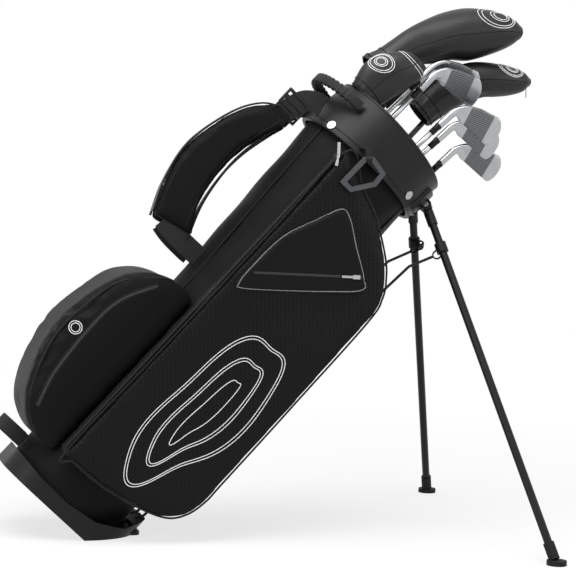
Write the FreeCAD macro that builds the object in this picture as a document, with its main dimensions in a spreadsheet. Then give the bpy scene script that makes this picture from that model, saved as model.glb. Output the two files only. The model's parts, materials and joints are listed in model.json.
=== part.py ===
import FreeCAD, Part
import math
import os
import Sketcher
from FreeCAD import Placement, Rotation, Vector

# Golf stand bag leaning on its two legs, with its clubs and head covers.
# Everything is drawn in the bag's own frame: z runs up the bag from its sole, x points to
# the side the legs are on (the strap side is -x), and y runs across.  STAND then leans
# that frame forward until the sole's chamfer and both leg feet rest on the floor.

os.makedirs("parts", exist_ok=True)
doc = FreeCAD.newDocument("stand_bag_set")

SIZES = {
    # lean and moulded base
    "lean": 42.2, "cup_deep": 124.6, "cup_side": 105, "cup_corner": 70, "cup_wall": 4,
    "cup_floor": 8, "heel": 56.4, "chamfer_rise": 62, "chamfer_skin": 16, "band_back": 36,
    "band_middle": 27, "band_front": 97, "front_wall": 15.6,
    # fabric tube
    "tube_wall": 3, "tube_foot_deep": 113, "tube_foot_side": 100, "tube_foot_set": -6,
    "tube_waist_rise": 475, "tube_waist_deep": 109, "tube_waist_side": 104,
    "tube_waist_set": -12, "tube_top_rise": 824, "tube_top_deep": 118, "tube_top_side": 109,
    "tube_top_set": -20, "fabric_gap": 0.4, "floor_low": 21, "floor_high": 69,
    "well_radius": 16,
    # collar
    "collar_foot_rise": 800, "collar_foot_deep": 128, "collar_foot_side": 118,
    "collar_foot_set": -20, "collar_top_rise": 900, "collar_deep": 122, "collar_side": 116,
    "collar_set": -12, "collar_wall": 6, "rim_front": 875, "rim_slant": 4.69,
    "bar_thick": 5, "bar_tall": 18, "bar_foot": 838, "bar_first": -22, "bar_second": 58,
    "bar_long": 42, "bar_short": 20, "handle_reach": 84, "handle_side": 94, "handle_thick": 9,
    "handle_tall": 17, "handle_foot": 851, "handle_set": -100,
    # legs
    "pivot_out": 112.2, "pivot_side": 41, "pivot_rise": 836.2, "leg_long": 678.1,
    "leg_fold": 61.1, "leg_splay": 31.7, "tube_radius": 7, "tube_bore": 6, "pin_radius": 3,
    "fit": 0.05, "knuckle_radius": 9.5, "knuckle_long": 14, "cheek": 4, "foot_radius": 17,
    "foot_thick": 8, "sleeve_radius": 9.5, "clamp_at": 83, "clamp_radius": 10.5,
    "clamp_long": 18, "post_radius": 3, "post_out": 13.5, "eye_thick": 4,
    # rocker and rods
    "rocker_side": 61.7, "rocker_thick": 5.6, "rocker_gap": 0.6, "rocker_hinge": 8,
    "rocker_lift": 6.2, "rocker_end": 104, "lug_out": 122, "lug_rise": 76, "lug_side": 24,
    "lug_thick": 3.5, "rod_radius": 2.5, "rod_eye": 5.6, "rod_slot_down": 12.4,
    "rod_slot_up": 2.9, "rod_play": 3, "rod_kink": 18,
    # pockets
    "pocket_side": 150, "pocket_inner": 70, "leg_room": 20, "ball_side": 88,
    "pouch_thick": 7.6, "tape_wide": 12, "tape_thick": 2, "strap_thick": 14,
    "strap_shift": 16, "webbing_wide": 38, "webbing_thick": 2.5,
    "buckle_wide": 49, "buckle_thick": 7, "rivet_radius": 8,
    # clubs
    "shaft_radius": 4.7, "grip_radius": 12.6, "grip_tip": 9.5, "grip_long": 267,
    "ferrule_radius": 6.7, "ferrule_long": 20, "hosel_radius": 6.6, "hosel_long": 46,
    "blade_long": 84, "blade_heel": 33, "blade_toe": 57, "blade_thick": 7, "sole_wide": 17,
    "lie": 61, "cover_wall": 3, "cover_gap": 0.4,
}

sheet = doc.addObject("Spreadsheet::Sheet", "Sizes")
for row, (name, value) in enumerate(SIZES.items(), start=1):
    sheet.set(f"A{row}", name)
    sheet.set(f"B{row}", str(value))
    sheet.setAlias(f"B{row}", name)
doc.recompute()


def worth(text):
    """Value of a size or of an expression over the sheet's sizes."""
    return float(sheet.evalExpression(text))


def size(name):
    return worth("Sizes." + name)


pieces = []


def finish(obj, label):
    """Register one finished sub-part under the name of its file."""
    obj.Label = label
    pieces.append(obj)
    return obj


def plane(body, role):
    return [item for item in body.Origin.OriginFeatures if item.Role == role][0]


def outline(body, role, corners, name):
    """Closed sketch of straight edges, each corner bound to two expressions."""
    sketch = body.newObject("Sketcher::SketchObject", name)
    sketch.AttachmentSupport = [(plane(body, role), "")]
    sketch.MapMode = "FlatFace"
    points = [Vector(worth(across), worth(up), 0) for across, up in corners]
    count = len(points)
    for index in range(count):
        sketch.addGeometry(Part.LineSegment(points[index], points[(index + 1) % count]), False)
    for index in range(count):
        sketch.addConstraint(Sketcher.Constraint("Coincident", index, 2, (index + 1) % count, 1))
    for index, (across, up) in enumerate(corners):
        for kind, text, value in (("DistanceX", across, points[index].x),
                                  ("DistanceY", up, points[index].y)):
            place = sketch.addConstraint(Sketcher.Constraint(kind, -1, 1, index, 1, value))
            sketch.setExpression(f"Constraints[{place}]", text)
    return sketch


def side_pad(name, corners, width):
    """Body padded both ways across the bag from a side-view outline."""
    body = doc.addObject("PartDesign::Body", name)
    sketch = outline(body, "XZ_Plane", corners, name + "_outline")
    pad = body.newObject("PartDesign::Pad", name + "_pad")
    pad.Profile = sketch
    pad.Midplane = True
    pad.setExpression("Length", width)
    return body


def block(name, spans):
    """Box between pairs of expressions along x, y and z."""
    box = doc.addObject("Part::Box", name)
    for prop, axis, (low, high) in zip(("Length", "Width", "Height"), "xyz", spans):
        box.setExpression(prop, f"({high}) - ({low})")
        box.setExpression("Placement.Base." + axis, low)
    return box


def loft(name, stations):
    """Solid through ellipses; a station is (height, centre x, half depth, half width)."""
    rings = []
    for index, (rise, middle, deep, side) in enumerate(stations):
        ring = doc.addObject("Part::Ellipse", f"{name}_ring{index}")
        ring.setExpression("MajorRadius", deep)
        ring.setExpression("MinorRadius", side)
        ring.setExpression("Placement.Base.x", middle)
        ring.setExpression("Placement.Base.z", rise)
        rings.append(ring)
    solid = doc.addObject("Part::Loft", name)
    solid.Sections = rings
    solid.Solid = True
    return solid


def boolean(kind, name, base, *tools):
    """Chain of two-body booleans: Cut, Fuse or Common."""
    result = base
    for index, tool in enumerate(tools):
        step = doc.addObject("Part::" + kind, name if index == len(tools) - 1 else f"{name}_{index}")
        step.Base = result
        step.Tool = tool
        result = step
    return result


def shaped(name, shape):
    """Sub-part whose shape comes from Part's own functions."""
    feature = doc.addObject("Part::Feature", name)
    feature.Shape = shape
    return feature


def rod(radius, start, end):
    """Plain cylinder between two points."""
    along = end - start
    return Part.makeCylinder(radius, along.Length, start, along)


def joined(solids):
    return solids[0].multiFuse(solids[1:]).removeSplitter()


def slab(points, low, high, smooth=()):
    """Prism across the bag from a side-view outline; smooth lists the runs that are curves."""
    corners = [Vector(across, low, up) for across, up in points]
    edges = []
    index = 0
    while index < len(corners):
        run = next((stop for start, stop in smooth if start == index), index + 1)
        if run == index + 1:
            edges.append(Part.LineSegment(corners[index], corners[run % len(corners)]).toShape())
        else:
            curve = Part.BSplineCurve()
            curve.interpolate([corners[step % len(corners)] for step in range(index, run + 1)])
            edges.append(curve.toShape())
        index = run
    face = Part.Face(Part.Wire(edges))
    return face.extrude(Vector(0, high - low, 0))


def rounded(solid, radius, choose):
    """Fillet the edges that choose(edge) picks."""
    return solid.makeFillet(radius, [edge for edge in solid.Edges if choose(edge)])


# name, x at the rim, y, tilt, height where the hosel starts, loft
IRONS = (("iron_4", -49, -4, 2.0, 992, 22), ("iron_5", -41, -31, 1.2, 977, 25),
         ("iron_6", 18, -67, 4.5, 951, 28), ("iron_7", 41, -41, 4.5, 937, 31),
         ("iron_9", 87, 6, 4.5, 921, 36))
# name, x at the rim, y, tilt, floor, height where the hosel starts, head, neck length, neck half width
WOODS = (("driver", -88, 57, -1.4, "floor_low", 1036, "DRIVER", 60, 33),
         ("fairway", 31, 76, 0.0, "floor_high", 1012, "FAIRWAY", 66, 23),
         ("hybrid", -103, -38, -1.4, "floor_low", 934, "HYBRID", 36, 24),
         ("putter", -57, 26, 0.0, "floor_high", 922, "PUTTER", 14, 15))
RIM = 890


def club_place(out, across, tilt, floor):
    """Placement of a club frame: on its line through the rim, butt on the base floor."""
    lean = Rotation(Vector(0, 1, 0), tilt)
    butt = size(floor) + 0.3 + size("grip_radius") * math.sin(math.radians(abs(tilt)))
    up = lean.multVec(Vector(0, 0, 1))
    return Placement(Vector(out, across, RIM) - up * ((RIM - butt) / up.z), lean)


WELLS = [club_place(out, across, tilt, floor).Base - Vector(0, 0, 1)
         for name, out, across, tilt, floor, *rest in WOODS if floor == "floor_low"]


# ---------------------------------------------------------------- moulded base
S = "Sizes."
CHAMFER = math.atan2(size("chamfer_rise"), size("cup_deep") - size("heel"))
ALONG = Vector(math.cos(CHAMFER), 0, math.sin(CHAMFER))
INWARD = Vector(-math.sin(CHAMFER), 0, math.cos(CHAMFER))
HEEL = Vector(size("heel"), 0, 0)


def on_chamfer(run, lift, across=0.0):
    """Point at a run up the sole's chamfer, a lift above it and a distance across."""
    return HEEL + ALONG * run + INWARD * lift + Vector(0, across, 0)


def above_sole(name, lift, shrink, top):
    """Side-view pad of everything above the sole, offset upwards by a lift."""
    slope = "Sizes.chamfer_rise / (Sizes.cup_deep - Sizes.heel)"
    ramp = f"(Sizes.chamfer_skin + {lift}) / cos({math.degrees(CHAMFER):.4f})"
    floor = f"Sizes.cup_floor + {lift}"
    front = f"Sizes.cup_deep - Sizes.front_wall - {shrink}"
    turn = f"Sizes.heel + ({floor} - {ramp}) / ({slope})"
    corners = [(f"-Sizes.cup_deep + Sizes.cup_wall + {shrink}", floor), (turn, floor),
               (front, f"({front} - Sizes.heel) * {slope} + {ramp}"),
               (front, top), (f"-Sizes.cup_deep + Sizes.cup_wall + {shrink}", top)]
    return side_pad(name, corners, "4 * Sizes.cup_side")


def rounded_prism(name, shrink, corner):
    box = block(name + "_box", ((f"-Sizes.cup_deep + {shrink}", f"Sizes.cup_deep - {shrink}"),
                                (f"-Sizes.cup_side + {shrink}", f"Sizes.cup_side - {shrink}"),
                                ("-20", "220")))
    doc.recompute()
    soft = doc.addObject("Part::Fillet", name)
    soft.Base = box
    upright = [number + 1 for number, edge in enumerate(box.Shape.Edges)
               if abs(edge.tangentAt(edge.FirstParameter).z) > 0.99]
    soft.Edges = [(number, worth(corner), worth(corner)) for number in upright]
    return soft


def build_base_cup():
    shell = side_pad("cup_side_view", [
        ("-Sizes.cup_deep", "0"), (S + "heel", "0"), (S + "cup_deep", S + "chamfer_rise"),
        (S + "cup_deep", S + "band_front"), ("0.78 * Sizes.cup_deep", "0.62 * Sizes.band_front"),
        ("0.4 * Sizes.cup_deep", "0.37 * Sizes.band_front"), ("-10", S + "band_middle"),
        ("-0.6 * Sizes.cup_deep", "Sizes.band_middle + 2"),
        ("-Sizes.cup_deep", S + "band_back")], "4 * Sizes.cup_side")
    outer = boolean("Common", "cup_outer", shell, rounded_prism("cup_prism", "0", S + "cup_corner"))
    hollow = boolean("Common", "cup_hollow", above_sole("cup_cavity", "0", "0", "160"),
                     rounded_prism("cup_inner_prism", S + "cup_wall",
                                   "Sizes.cup_corner - Sizes.cup_wall"))
    open_cup = boolean("Cut", "cup_open", outer, hollow)
    bay = doc.addObject("Part::Box", "rocker_bay")
    deep_bay = doc.addObject("Part::Box", "rocker_hinge_bay")
    for box, start, end, high in ((bay, "-1", "130", "Sizes.rocker_thick + Sizes.rocker_gap"),
                                  (deep_bay, "-1", "22", "2 * Sizes.rocker_lift + 0.4")):
        box.setExpression("Length", f"{end} - {start}")
        box.setExpression("Width", "2 * (Sizes.rocker_side + Sizes.rocker_gap)")
        box.setExpression("Height", f"{high} + 1")
        corner = on_chamfer(float(start), -1, -worth("Sizes.rocker_side + Sizes.rocker_gap"))
        box.Placement = Placement(corner, Rotation(Vector(0, 1, 0), -math.degrees(CHAMFER)))
    notches = []
    for side in ("-", ""):
        middle = f"{side}Sizes.lug_side"
        notches.append(block("lug_notch" + ("_near" if side else "_far"), (
            ("Sizes.lug_out - Sizes.rod_eye - 1.2", "Sizes.cup_deep + 5"),
            (f"{middle} - Sizes.lug_thick - 4.2", f"{middle} + Sizes.lug_thick + 4.2"),
            ("40", "Sizes.band_front + 5"))))
    cup = boolean("Cut", "base_cup", open_cup, bay, deep_bay, *notches)
    return finish(cup, "base_cup")


def build_tube():
    def stations(inset):
        return [("-5", S + "tube_foot_set", f"Sizes.tube_foot_deep - {inset}",
                 f"Sizes.tube_foot_side - {inset}"),
                ("60", S + "tube_foot_set", f"Sizes.tube_foot_deep - {inset}",
                 f"Sizes.tube_foot_side - {inset}"),
                (S + "tube_waist_rise", S + "tube_waist_set",
                 f"Sizes.tube_waist_deep - {inset}", f"Sizes.tube_waist_side - {inset}"),
                ("0.5 * (Sizes.tube_waist_rise + Sizes.tube_top_rise)", "Sizes.tube_waist_set - 5",
                 f"Sizes.tube_waist_deep + 5 - {inset}", f"Sizes.tube_waist_side + 3 - {inset}"),
                (S + "tube_top_rise", S + "tube_top_set", f"Sizes.tube_top_deep - {inset}",
                 f"Sizes.tube_top_side - {inset}")]
    outer = loft("tube_outer", stations("0"))
    inner = loft("tube_inner", [(f"{rise} + {add}", middle, deep, side) for add, (rise, middle,
                 deep, side) in zip((-2, 0, 0, 0, 2), stations("Sizes.tube_wall"))])
    shell = boolean("Cut", "tube_shell", outer, inner)
    tube = boolean("Common", "bag_tube", shell, above_sole("tube_trim", "0.3", "0.5", "990"))
    return finish(tube, "bag_tube")


def build_floor():
    deep = "Sizes.tube_foot_deep - Sizes.tube_wall - Sizes.fabric_gap"
    side = "Sizes.tube_foot_side - Sizes.tube_wall - Sizes.fabric_gap"
    foam = loft("foam", [(rise, S + "tube_foot_set", deep, side) for rise in ("0", S + "floor_high")])
    trimmed = boolean("Common", "foam_seated", foam, above_sole("foam_trim", "0.3", "0.5", "90"))
    wells = []
    for index, place in enumerate(WELLS):
        well = doc.addObject("Part::Cylinder", f"foam_well{index}")
        well.setExpression("Radius", "Sizes.well_radius")
        well.Height = 90
        well.Placement = Placement(place, Rotation())
        wells.append(well)
    return finish(boolean("Cut", "base_floor", trimmed, *wells), "base_floor")


# ---------------------------------------------------------------- collar
def collar_stations(grow, low="0", high="0"):
    return [(f"Sizes.collar_foot_rise - {low}", S + "collar_foot_set",
             f"Sizes.collar_foot_deep + {grow}", f"Sizes.collar_foot_side + {grow}"),
            (f"Sizes.collar_top_rise + {high}", S + "collar_set",
             f"Sizes.collar_deep + {grow}", f"Sizes.collar_side + {grow}")]


def build_collar():
    outer = loft("collar_outer", collar_stations("0"))
    inner = loft("collar_inner", collar_stations("-Sizes.collar_wall", "0.01", "0.01"))
    shell = boolean("Cut", "collar_shell", outer, inner)
    slant = doc.addObject("Part::Box", "rim_slant")
    slant.Length = 400
    slant.Width = 400
    slant.Height = 80
    slope = math.radians(size("rim_slant"))
    front = worth("Sizes.collar_set + Sizes.collar_deep")
    back = Vector(front, 0, size("rim_front")) - Vector(math.cos(slope), 0, -math.sin(slope)) * 300
    slant.Placement = Placement(back - Vector(0, 200, 0), Rotation(Vector(0, 1, 0), size("rim_slant")))
    finish(boolean("Cut", "collar_ring", shell, slant), "collar_ring")

    span = "Sizes.collar_side"
    thick = "0.5 * Sizes.bar_thick"
    tall = (S + "bar_foot", "Sizes.bar_foot + Sizes.bar_tall")
    first = block("bar_first", ((f"Sizes.bar_first - {thick}", f"Sizes.bar_first + {thick}"),
                                (f"-{span}", span), tall))
    second = block("bar_second", ((f"Sizes.bar_second - {thick}", f"Sizes.bar_second + {thick}"),
                                  (f"-{span}", span), tall))
    upper = block("bar_upper", (("Sizes.collar_set - Sizes.collar_deep", S + "bar_first"),
                                (f"Sizes.bar_long - {thick}", f"Sizes.bar_long + {thick}"), tall))
    lower = block("bar_lower", ((S + "bar_first", S + "bar_second"),
                                (f"Sizes.bar_short - {thick}", f"Sizes.bar_short + {thick}"), tall))
    grid = boolean("Fuse", "bar_grid", first, second, upper, lower)
    seat = loft("bar_seat", collar_stations("-Sizes.collar_wall - 0.5"))
    finish(boolean("Common", "divider_bars", grid, seat), "divider_bars")

    band = []
    for part, inset in (("outer", "0"), ("inner", S + "handle_thick")):
        band.append(loft("handle_" + part, [(f"Sizes.handle_foot + {rise}", S + "handle_set",
                    f"Sizes.handle_side - {inset}", f"Sizes.handle_reach - {inset}")
                    for rise in ("0", "Sizes.handle_tall")]))
        for ring in band[-1].Sections:
            ring.Placement.Rotation = Rotation(Vector(0, 0, 1), 90)
    hoop = boolean("Cut", "handle_hoop", *band)
    front = block("handle_front", (("Sizes.handle_set + 6", "200"), ("-200", "200"), ("700", "1000")))
    core = loft("handle_seat", collar_stations("0.2", "20", "20"))
    finish(boolean("Cut", "lift_handle", hoop, front, core), "lift_handle")


# ---------------------------------------------------------------- legs
def leg_frame(side):
    """Pivot, leg direction, fold axis and outward direction; side is -1 near, +1 far."""
    pivot = Vector(size("pivot_out"), side * size("pivot_side"), size("pivot_rise"))
    open_angle = math.radians(size("leg_fold"))
    splay = math.radians(size("leg_splay"))
    level = Vector(math.cos(splay), side * math.sin(splay), 0)
    down = Vector(0, 0, -1)
    along = level * math.sin(open_angle) + down * math.cos(open_angle)
    axis = along.cross(down).normalize()
    return pivot, along, axis, along.cross(axis)


def leg_placement(side):
    pivot, along, axis, outward = leg_frame(side)
    return Placement(pivot, Rotation(along, axis, outward, "XYZ"))


SIDES = (("near", -1), ("far", 1))
X, Y, Z = Vector(1, 0, 0), Vector(0, 1, 0), Vector(0, 0, 1)
UP = Vector(-math.sin(math.radians(size("lean"))), 0, math.cos(math.radians(size("lean"))))


def build_leg(name, side):
    place = leg_placement(side)
    radius = size("tube_radius")
    socket = radius + size("fit")
    half = size("knuckle_long") / 2
    tube_start, tube_end = 14.0, size("leg_long") - 26

    eye = rod(size("knuckle_radius"), Y * -half, Y * half)
    neck = Part.makeBox(14, 2 * half, 2 * size("knuckle_radius") - 4,
                        Vector(0, -half, 2 - size("knuckle_radius")))
    sleeve = rod(size("sleeve_radius") - 0.6, X * (size("knuckle_radius") + 1.8), X * 38)
    knuckle = joined([eye, neck, sleeve]).cut(rod(socket, X * tube_start, X * 60))
    knuckle = knuckle.cut(rod(size("pin_radius") + size("fit"), Y * -40, Y * 40))
    tube = rod(radius, X * tube_start, X * tube_end).cut(rod(size("tube_bore"), X * 0, X * 700))

    foot_sleeve = rod(size("sleeve_radius"), X * (tube_end - 14), X * (size("leg_long") - 10))
    foot_sleeve = foot_sleeve.cut(rod(socket, X * 0, X * (tube_end + 0.1)))
    foot_sleeve = foot_sleeve.transformGeometry(place.toMatrix())
    contact = place.multVec(X * size("leg_long"))
    pad = Part.makeCylinder(size("foot_radius"), size("foot_thick"), contact, UP)
    foot = joined([foot_sleeve, pad])
    below = Part.makeCylinder(60, 30, contact - UP * 30, UP)

    start = size("clamp_at") - size("clamp_long") / 2
    ring = rod(size("clamp_radius"), X * start, X * (start + size("clamp_long")))
    arm = Y * -side
    middle = X * size("clamp_at")
    post = rod(size("post_radius"), middle + arm * radius, middle + arm * (size("post_out") + 4.5))
    button = rod(size("post_radius") + 3.4, middle + arm * (size("post_out") + 4.5),
                 middle + arm * (size("post_out") + 7))
    clamp = joined([ring, post, button]).cut(rod(socket, X * 0, X * 200))

    for label, shape in (("leg_knuckle", knuckle), ("leg_tube", tube), ("rod_clamp", clamp)):
        piece = finish(shaped(f"{name}_{label}", shape), f"{name}_{label}")
        piece.Placement = place
    finish(shaped(f"{name}_leg_foot", foot.cut(below)), f"{name}_leg_foot")


def build_bracket():
    """Saddle moulded to the collar with two cheeks either side of each knuckle."""
    low, high = size("pivot_rise") - 24, size("pivot_rise") + 22
    window = Part.makeBox(120, 140, high - low, Vector(40, -70, low))
    solids = [collar_body(6).common(window)]
    gap = size("knuckle_long") / 2 + 0.25
    pins = []
    for name, side in SIDES:
        pivot, along, axis, outward = leg_frame(side)
        place = Placement(pivot, Rotation(along, axis, outward, "XYZ"))
        level = Vector(axis.y, -axis.x, 0)
        for sign in (-1, 1):
            middle = pivot + axis * sign * (gap + size("cheek") / 2)
            disc = rod(size("knuckle_radius") + 0.5, middle - axis * size("cheek") / 2,
                       middle + axis * size("cheek") / 2)
            web = Part.makeBox(34, size("cheek"), 20, Vector(-34, -size("cheek") / 2, -10))
            web.Placement = Placement(middle, Rotation(level, axis, level.cross(axis), "XYZ"))
            solids += [disc, web]
        reach = gap + size("cheek") + 0.1
        pin = [rod(size("pin_radius"), pivot - axis * reach, pivot + axis * reach)]
        for end in (-1, 1):
            face = pivot + axis * end * reach
            pin.append(rod(size("pin_radius") + 2, face, face + axis * end * 2))
        pins.append(joined(pin))
    tools = [collar_body(0.2)]
    for name, side in SIDES:
        pivot, along, axis, outward = leg_frame(side)
        tools.append(rod(size("pin_radius") + 0.02, pivot - axis * 30, pivot + axis * 30))
        tools.append(rod(size("knuckle_radius") + 0.8, pivot - axis * gap, pivot + axis * gap))
        for end in (-1, 1):
            face = pivot + axis * end * reach
            tools.append(rod(size("pin_radius") + 2.4, face, face + axis * end * 4))
        frame = Placement(pivot, Rotation(Vector(axis.y, -axis.x, 0), axis, Z, "XYZ"))
        wide = size("sleeve_radius")
        for half, top in ((gap, 0), (wide, -size("knuckle_radius") - 1.1)):
            sweep = Part.makeBox(60, 2 * half, 60 + top, Vector(-wide - 0.8, -half, -60))
            sweep.Placement = frame
            tools.append(sweep)
    bracket = solids[0].multiFuse(solids[1:]).cut(tools)
    finish(shaped("leg_bracket", bracket), "leg_bracket")
    finish(shaped("leg_pins", Part.makeCompound(pins)), "leg_pins")


# ---------------------------------------------------------------- rocker and rods
def lug_point(side):
    return Vector(size("lug_out"), side * size("lug_side"), size("lug_rise"))


def build_rocker():
    width = size("rocker_side")
    plate = Part.makeBox(size("rocker_end") - 4, 2 * width, size("rocker_thick"),
                         Vector(4, -width, 0))
    plate = rounded(plate, 12, lambda edge: abs(edge.tangentAt(edge.FirstParameter).z) > 0.9
                    and edge.CenterOfMass.x > 20)
    plate.Placement = Placement(HEEL, Rotation(ALONG, Y, INWARD, "XYZ"))
    hinge = on_chamfer(size("rocker_hinge"), size("rocker_lift"))
    solids = [plate]
    for start in (-width + 2, -14, width - 30):
        solids.append(rod(5.4, hinge + Y * start, hinge + Y * (start + 28)))
    bore = rod(size("pin_radius") + size("fit"), hinge - Y * 80, hinge + Y * 80)
    for name, side in SIDES:
        tip = lug_point(side)
        for sign in (-1, 1):
            middle = Vector(tip.x, tip.y + sign * (size("eye_thick") / 2 + 0.9 + size("lug_thick") / 2),
                            tip.z)
            half = Y * (size("lug_thick") / 2)
            head = rod(size("rod_eye"), middle - half, middle + half)
            root = on_chamfer(size("rocker_end") - 10, 2, middle.y)
            web = Part.makeBox((middle - root).Length, size("lug_thick"), 8,
                               Vector(0, -size("lug_thick") / 2, -4))
            rise = (middle - root).normalize()
            web.Placement = Placement(root, Rotation(rise, Y, rise.cross(Y), "XYZ"))
            solids += [head, web]
        solids.append(rod(2, tip - Y * (size("eye_thick") / 2 + 0.9 + size("lug_thick") / 2),
                          tip + Y * (size("eye_thick") / 2 + 0.9 + size("lug_thick") / 2)))
    floor = Part.makeBox(400, 400, 60, Vector(-200, -200, -60))
    floor.Placement = Placement(HEEL, Rotation(ALONG, Y, INWARD, "XYZ"))
    rocker = joined(solids).cut(bore).cut(floor)
    finish(shaped("rocker_foot", rocker), "rocker_foot")
    reach = width + size("rocker_gap") - 0.1
    finish(shaped("rocker_pin", rod(size("pin_radius"), hinge - Y * reach, hinge + Y * reach)),
           "rocker_pin")


def build_rod(name, side):
    """Bent wire from the rocker's lug to the slotted eye that rides on the leg clamp's post."""
    pivot, along, axis, outward = leg_frame(side)
    foot = lug_point(side)
    top = pivot + along * size("clamp_at") + axis * (-side * size("post_out"))
    run = (top - foot).normalize()
    kink = top - run * 62 - X * size("rod_kink")
    tail = top - run * size("rod_slot_down")
    crown = top + run * size("rod_slot_up")
    lower = (kink - foot).normalize()
    upper = (tail - kink).normalize()
    bend = Part.makeSphere(size("rod_radius"), kink)
    shank = rod(size("rod_radius"), foot + lower * 4, kink)
    neck = rod(size("rod_radius"), kink, tail - upper * (size("post_radius") + size("rod_play")))
    half = Y * (size("eye_thick") / 2)
    eye = rod(size("rod_eye"), foot - half, foot + half)
    eye = eye.cut(rod(3.0, foot - half * 2, foot + half * 2))
    flat = axis * (size("eye_thick") / 2)
    inner_radius = size("post_radius") + size("rod_play")
    outer_radius = inner_radius + 2.2
    rings = []
    for radius, grow in ((outer_radius, 1), (inner_radius, 2)):
        low = rod(radius, tail - flat * grow, tail + flat * grow)
        high = rod(radius, crown - flat * grow, crown + flat * grow)
        bar = Part.makeBox((crown - tail).Length, 2 * radius, 2 * flat.Length * grow,
                           Vector(0, -radius, -flat.Length * grow))
        bar.Placement = Placement(tail, Rotation(run, axis.cross(run), axis, "XYZ"))
        rings.append(joined([low, high, bar]))
    slotted, hole = rings
    wire = joined([shank, bend, neck, eye.fuse(shank)]).cut(rod(3.0, foot - half * 2, foot + half * 2))
    wire = joined([wire, slotted]).cut(hole)
    finish(shaped(f"{name}_rod", wire), f"{name}_rod")


# ---------------------------------------------------------------- pockets
def tube_body(grow):
    """Tube's outer surface, grown, as a cutter for what is sewn against it."""
    rings = []
    for ring in doc.getObject("tube_outer").Sections:
        curve = Part.Ellipse(ring.Placement.Base, float(ring.MajorRadius) + grow,
                             float(ring.MinorRadius) + grow)
        rings.append(Part.Wire(curve.toShape()))
    return Part.makeLoft(rings, True)


def leg_gap(side):
    """Slab about the plane that a leg and its foot sweep as they fold."""
    pivot, along, axis, outward = leg_frame(side)
    room = size("leg_room")
    gap = Part.makeBox(400, 2 * room, 900, Vector(-40, -room, -860))
    gap.Placement = Placement(pivot, Rotation(Vector(axis.y, -axis.x, 0), axis, Z, "XYZ"))
    return gap


POCKET = [(-82, 85), (-85, 786), (-22, 762), (32, 742), (91, 706), (119, 681), (140, 650),
          (150, 600), (154, 400), (155, 230), (155, 186), (146, 149), (123, 121), (72, 101),
          (-2, 86)]


def build_side_pocket(name, side):
    low, high = sorted((side * size("pocket_inner"), side * size("pocket_side")))
    body = slab(POCKET, low, high, smooth=((1, 7), (9, 14)))
    body = body.cut(tube_body(size("fabric_gap"))).cut(leg_gap(side))
    finish(shaped(f"{name}_side_pocket", body), f"{name}_side_pocket")


def build_ball_pocket():
    shape = [(-86, 424), (-127, 429), (-155, 419), (-205, 362), (-221, 290), (-223, 226),
             (-209, 169), (-186, 119), (-162, 90), (-128, 72), (-86, 70)]
    side = size("ball_side")
    body = slab(shape, -side, side, smooth=((0, 3), (3, 9)))
    body = body.cut(tube_body(size("fabric_gap")))
    finish(shaped("ball_pocket", body), "ball_pocket")


def build_pouch():
    shape = [(-20, 712), (-3, 711), (91, 652), (106, 625), (-58, 484), (-71, 487), (-74, 526),
             (-69, 603), (-31, 696)]
    outer = -size("pocket_side") - 0.3
    finish(shaped("valuables_pocket", slab(shape, outer - size("pouch_thick"), outer)),
           "valuables_pocket")


def build_tapes():
    strips = []
    for side in (-1, 1):
        middle = side * (size("pocket_side") - 14)
        half = size("tape_wide") / 2
        shape = [(-82.4, 95), (-85.2, 780), (-85.2 - size("tape_thick"), 780),
                 (-82.4 - size("tape_thick"), 95)]
        strips.append(slab(shape, middle - half, middle + half))
    finish(shaped("zip_tapes", Part.makeCompound(strips)), "zip_tapes")


# ---------------------------------------------------------------- clubs
def revolve(profile):
    """Solid of revolution about z from (radius, height) points."""
    points = [Vector(radius, 0, rise) for radius, rise in profile]
    points = [Vector(0, 0, profile[0][1])] + points + [Vector(0, 0, profile[-1][1])]
    wire = Part.makePolygon(points + [points[0]])
    return Part.Face(wire).revolve(Vector(0, 0, 0), Z, 360)


def grip_and_shaft(length, tip, ferrule):
    """Grip, shaft and ferrule of a club whose hosel starts at a height along it."""
    grip_long = size("grip_long")
    grip = revolve([(size("grip_radius") - 1.5, 0), (size("grip_radius"), 4),
                    (size("grip_tip"), grip_long), (size("grip_tip") - 1, grip_long + 2)])
    bore_radius = size("shaft_radius") + 2.3
    shaft = revolve([(bore_radius, 10), (bore_radius, 300), (tip + 0.4, 560), (tip, length)])
    grip = grip.cut(revolve([(bore_radius + size("fit"), 9.9), (bore_radius + size("fit"), 300)]))
    collar = revolve([(tip + 0.8, length - ferrule), (ferrule_out(), length - 3),
                      (ferrule_out(), length - 0.05)])
    collar = collar.cut(revolve([(tip + size("fit") + 0.4, length - ferrule - 5),
                                 (tip + size("fit"), length)]))
    return [grip, shaft, collar]


def ferrule_out():
    return size("ferrule_radius")


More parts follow.
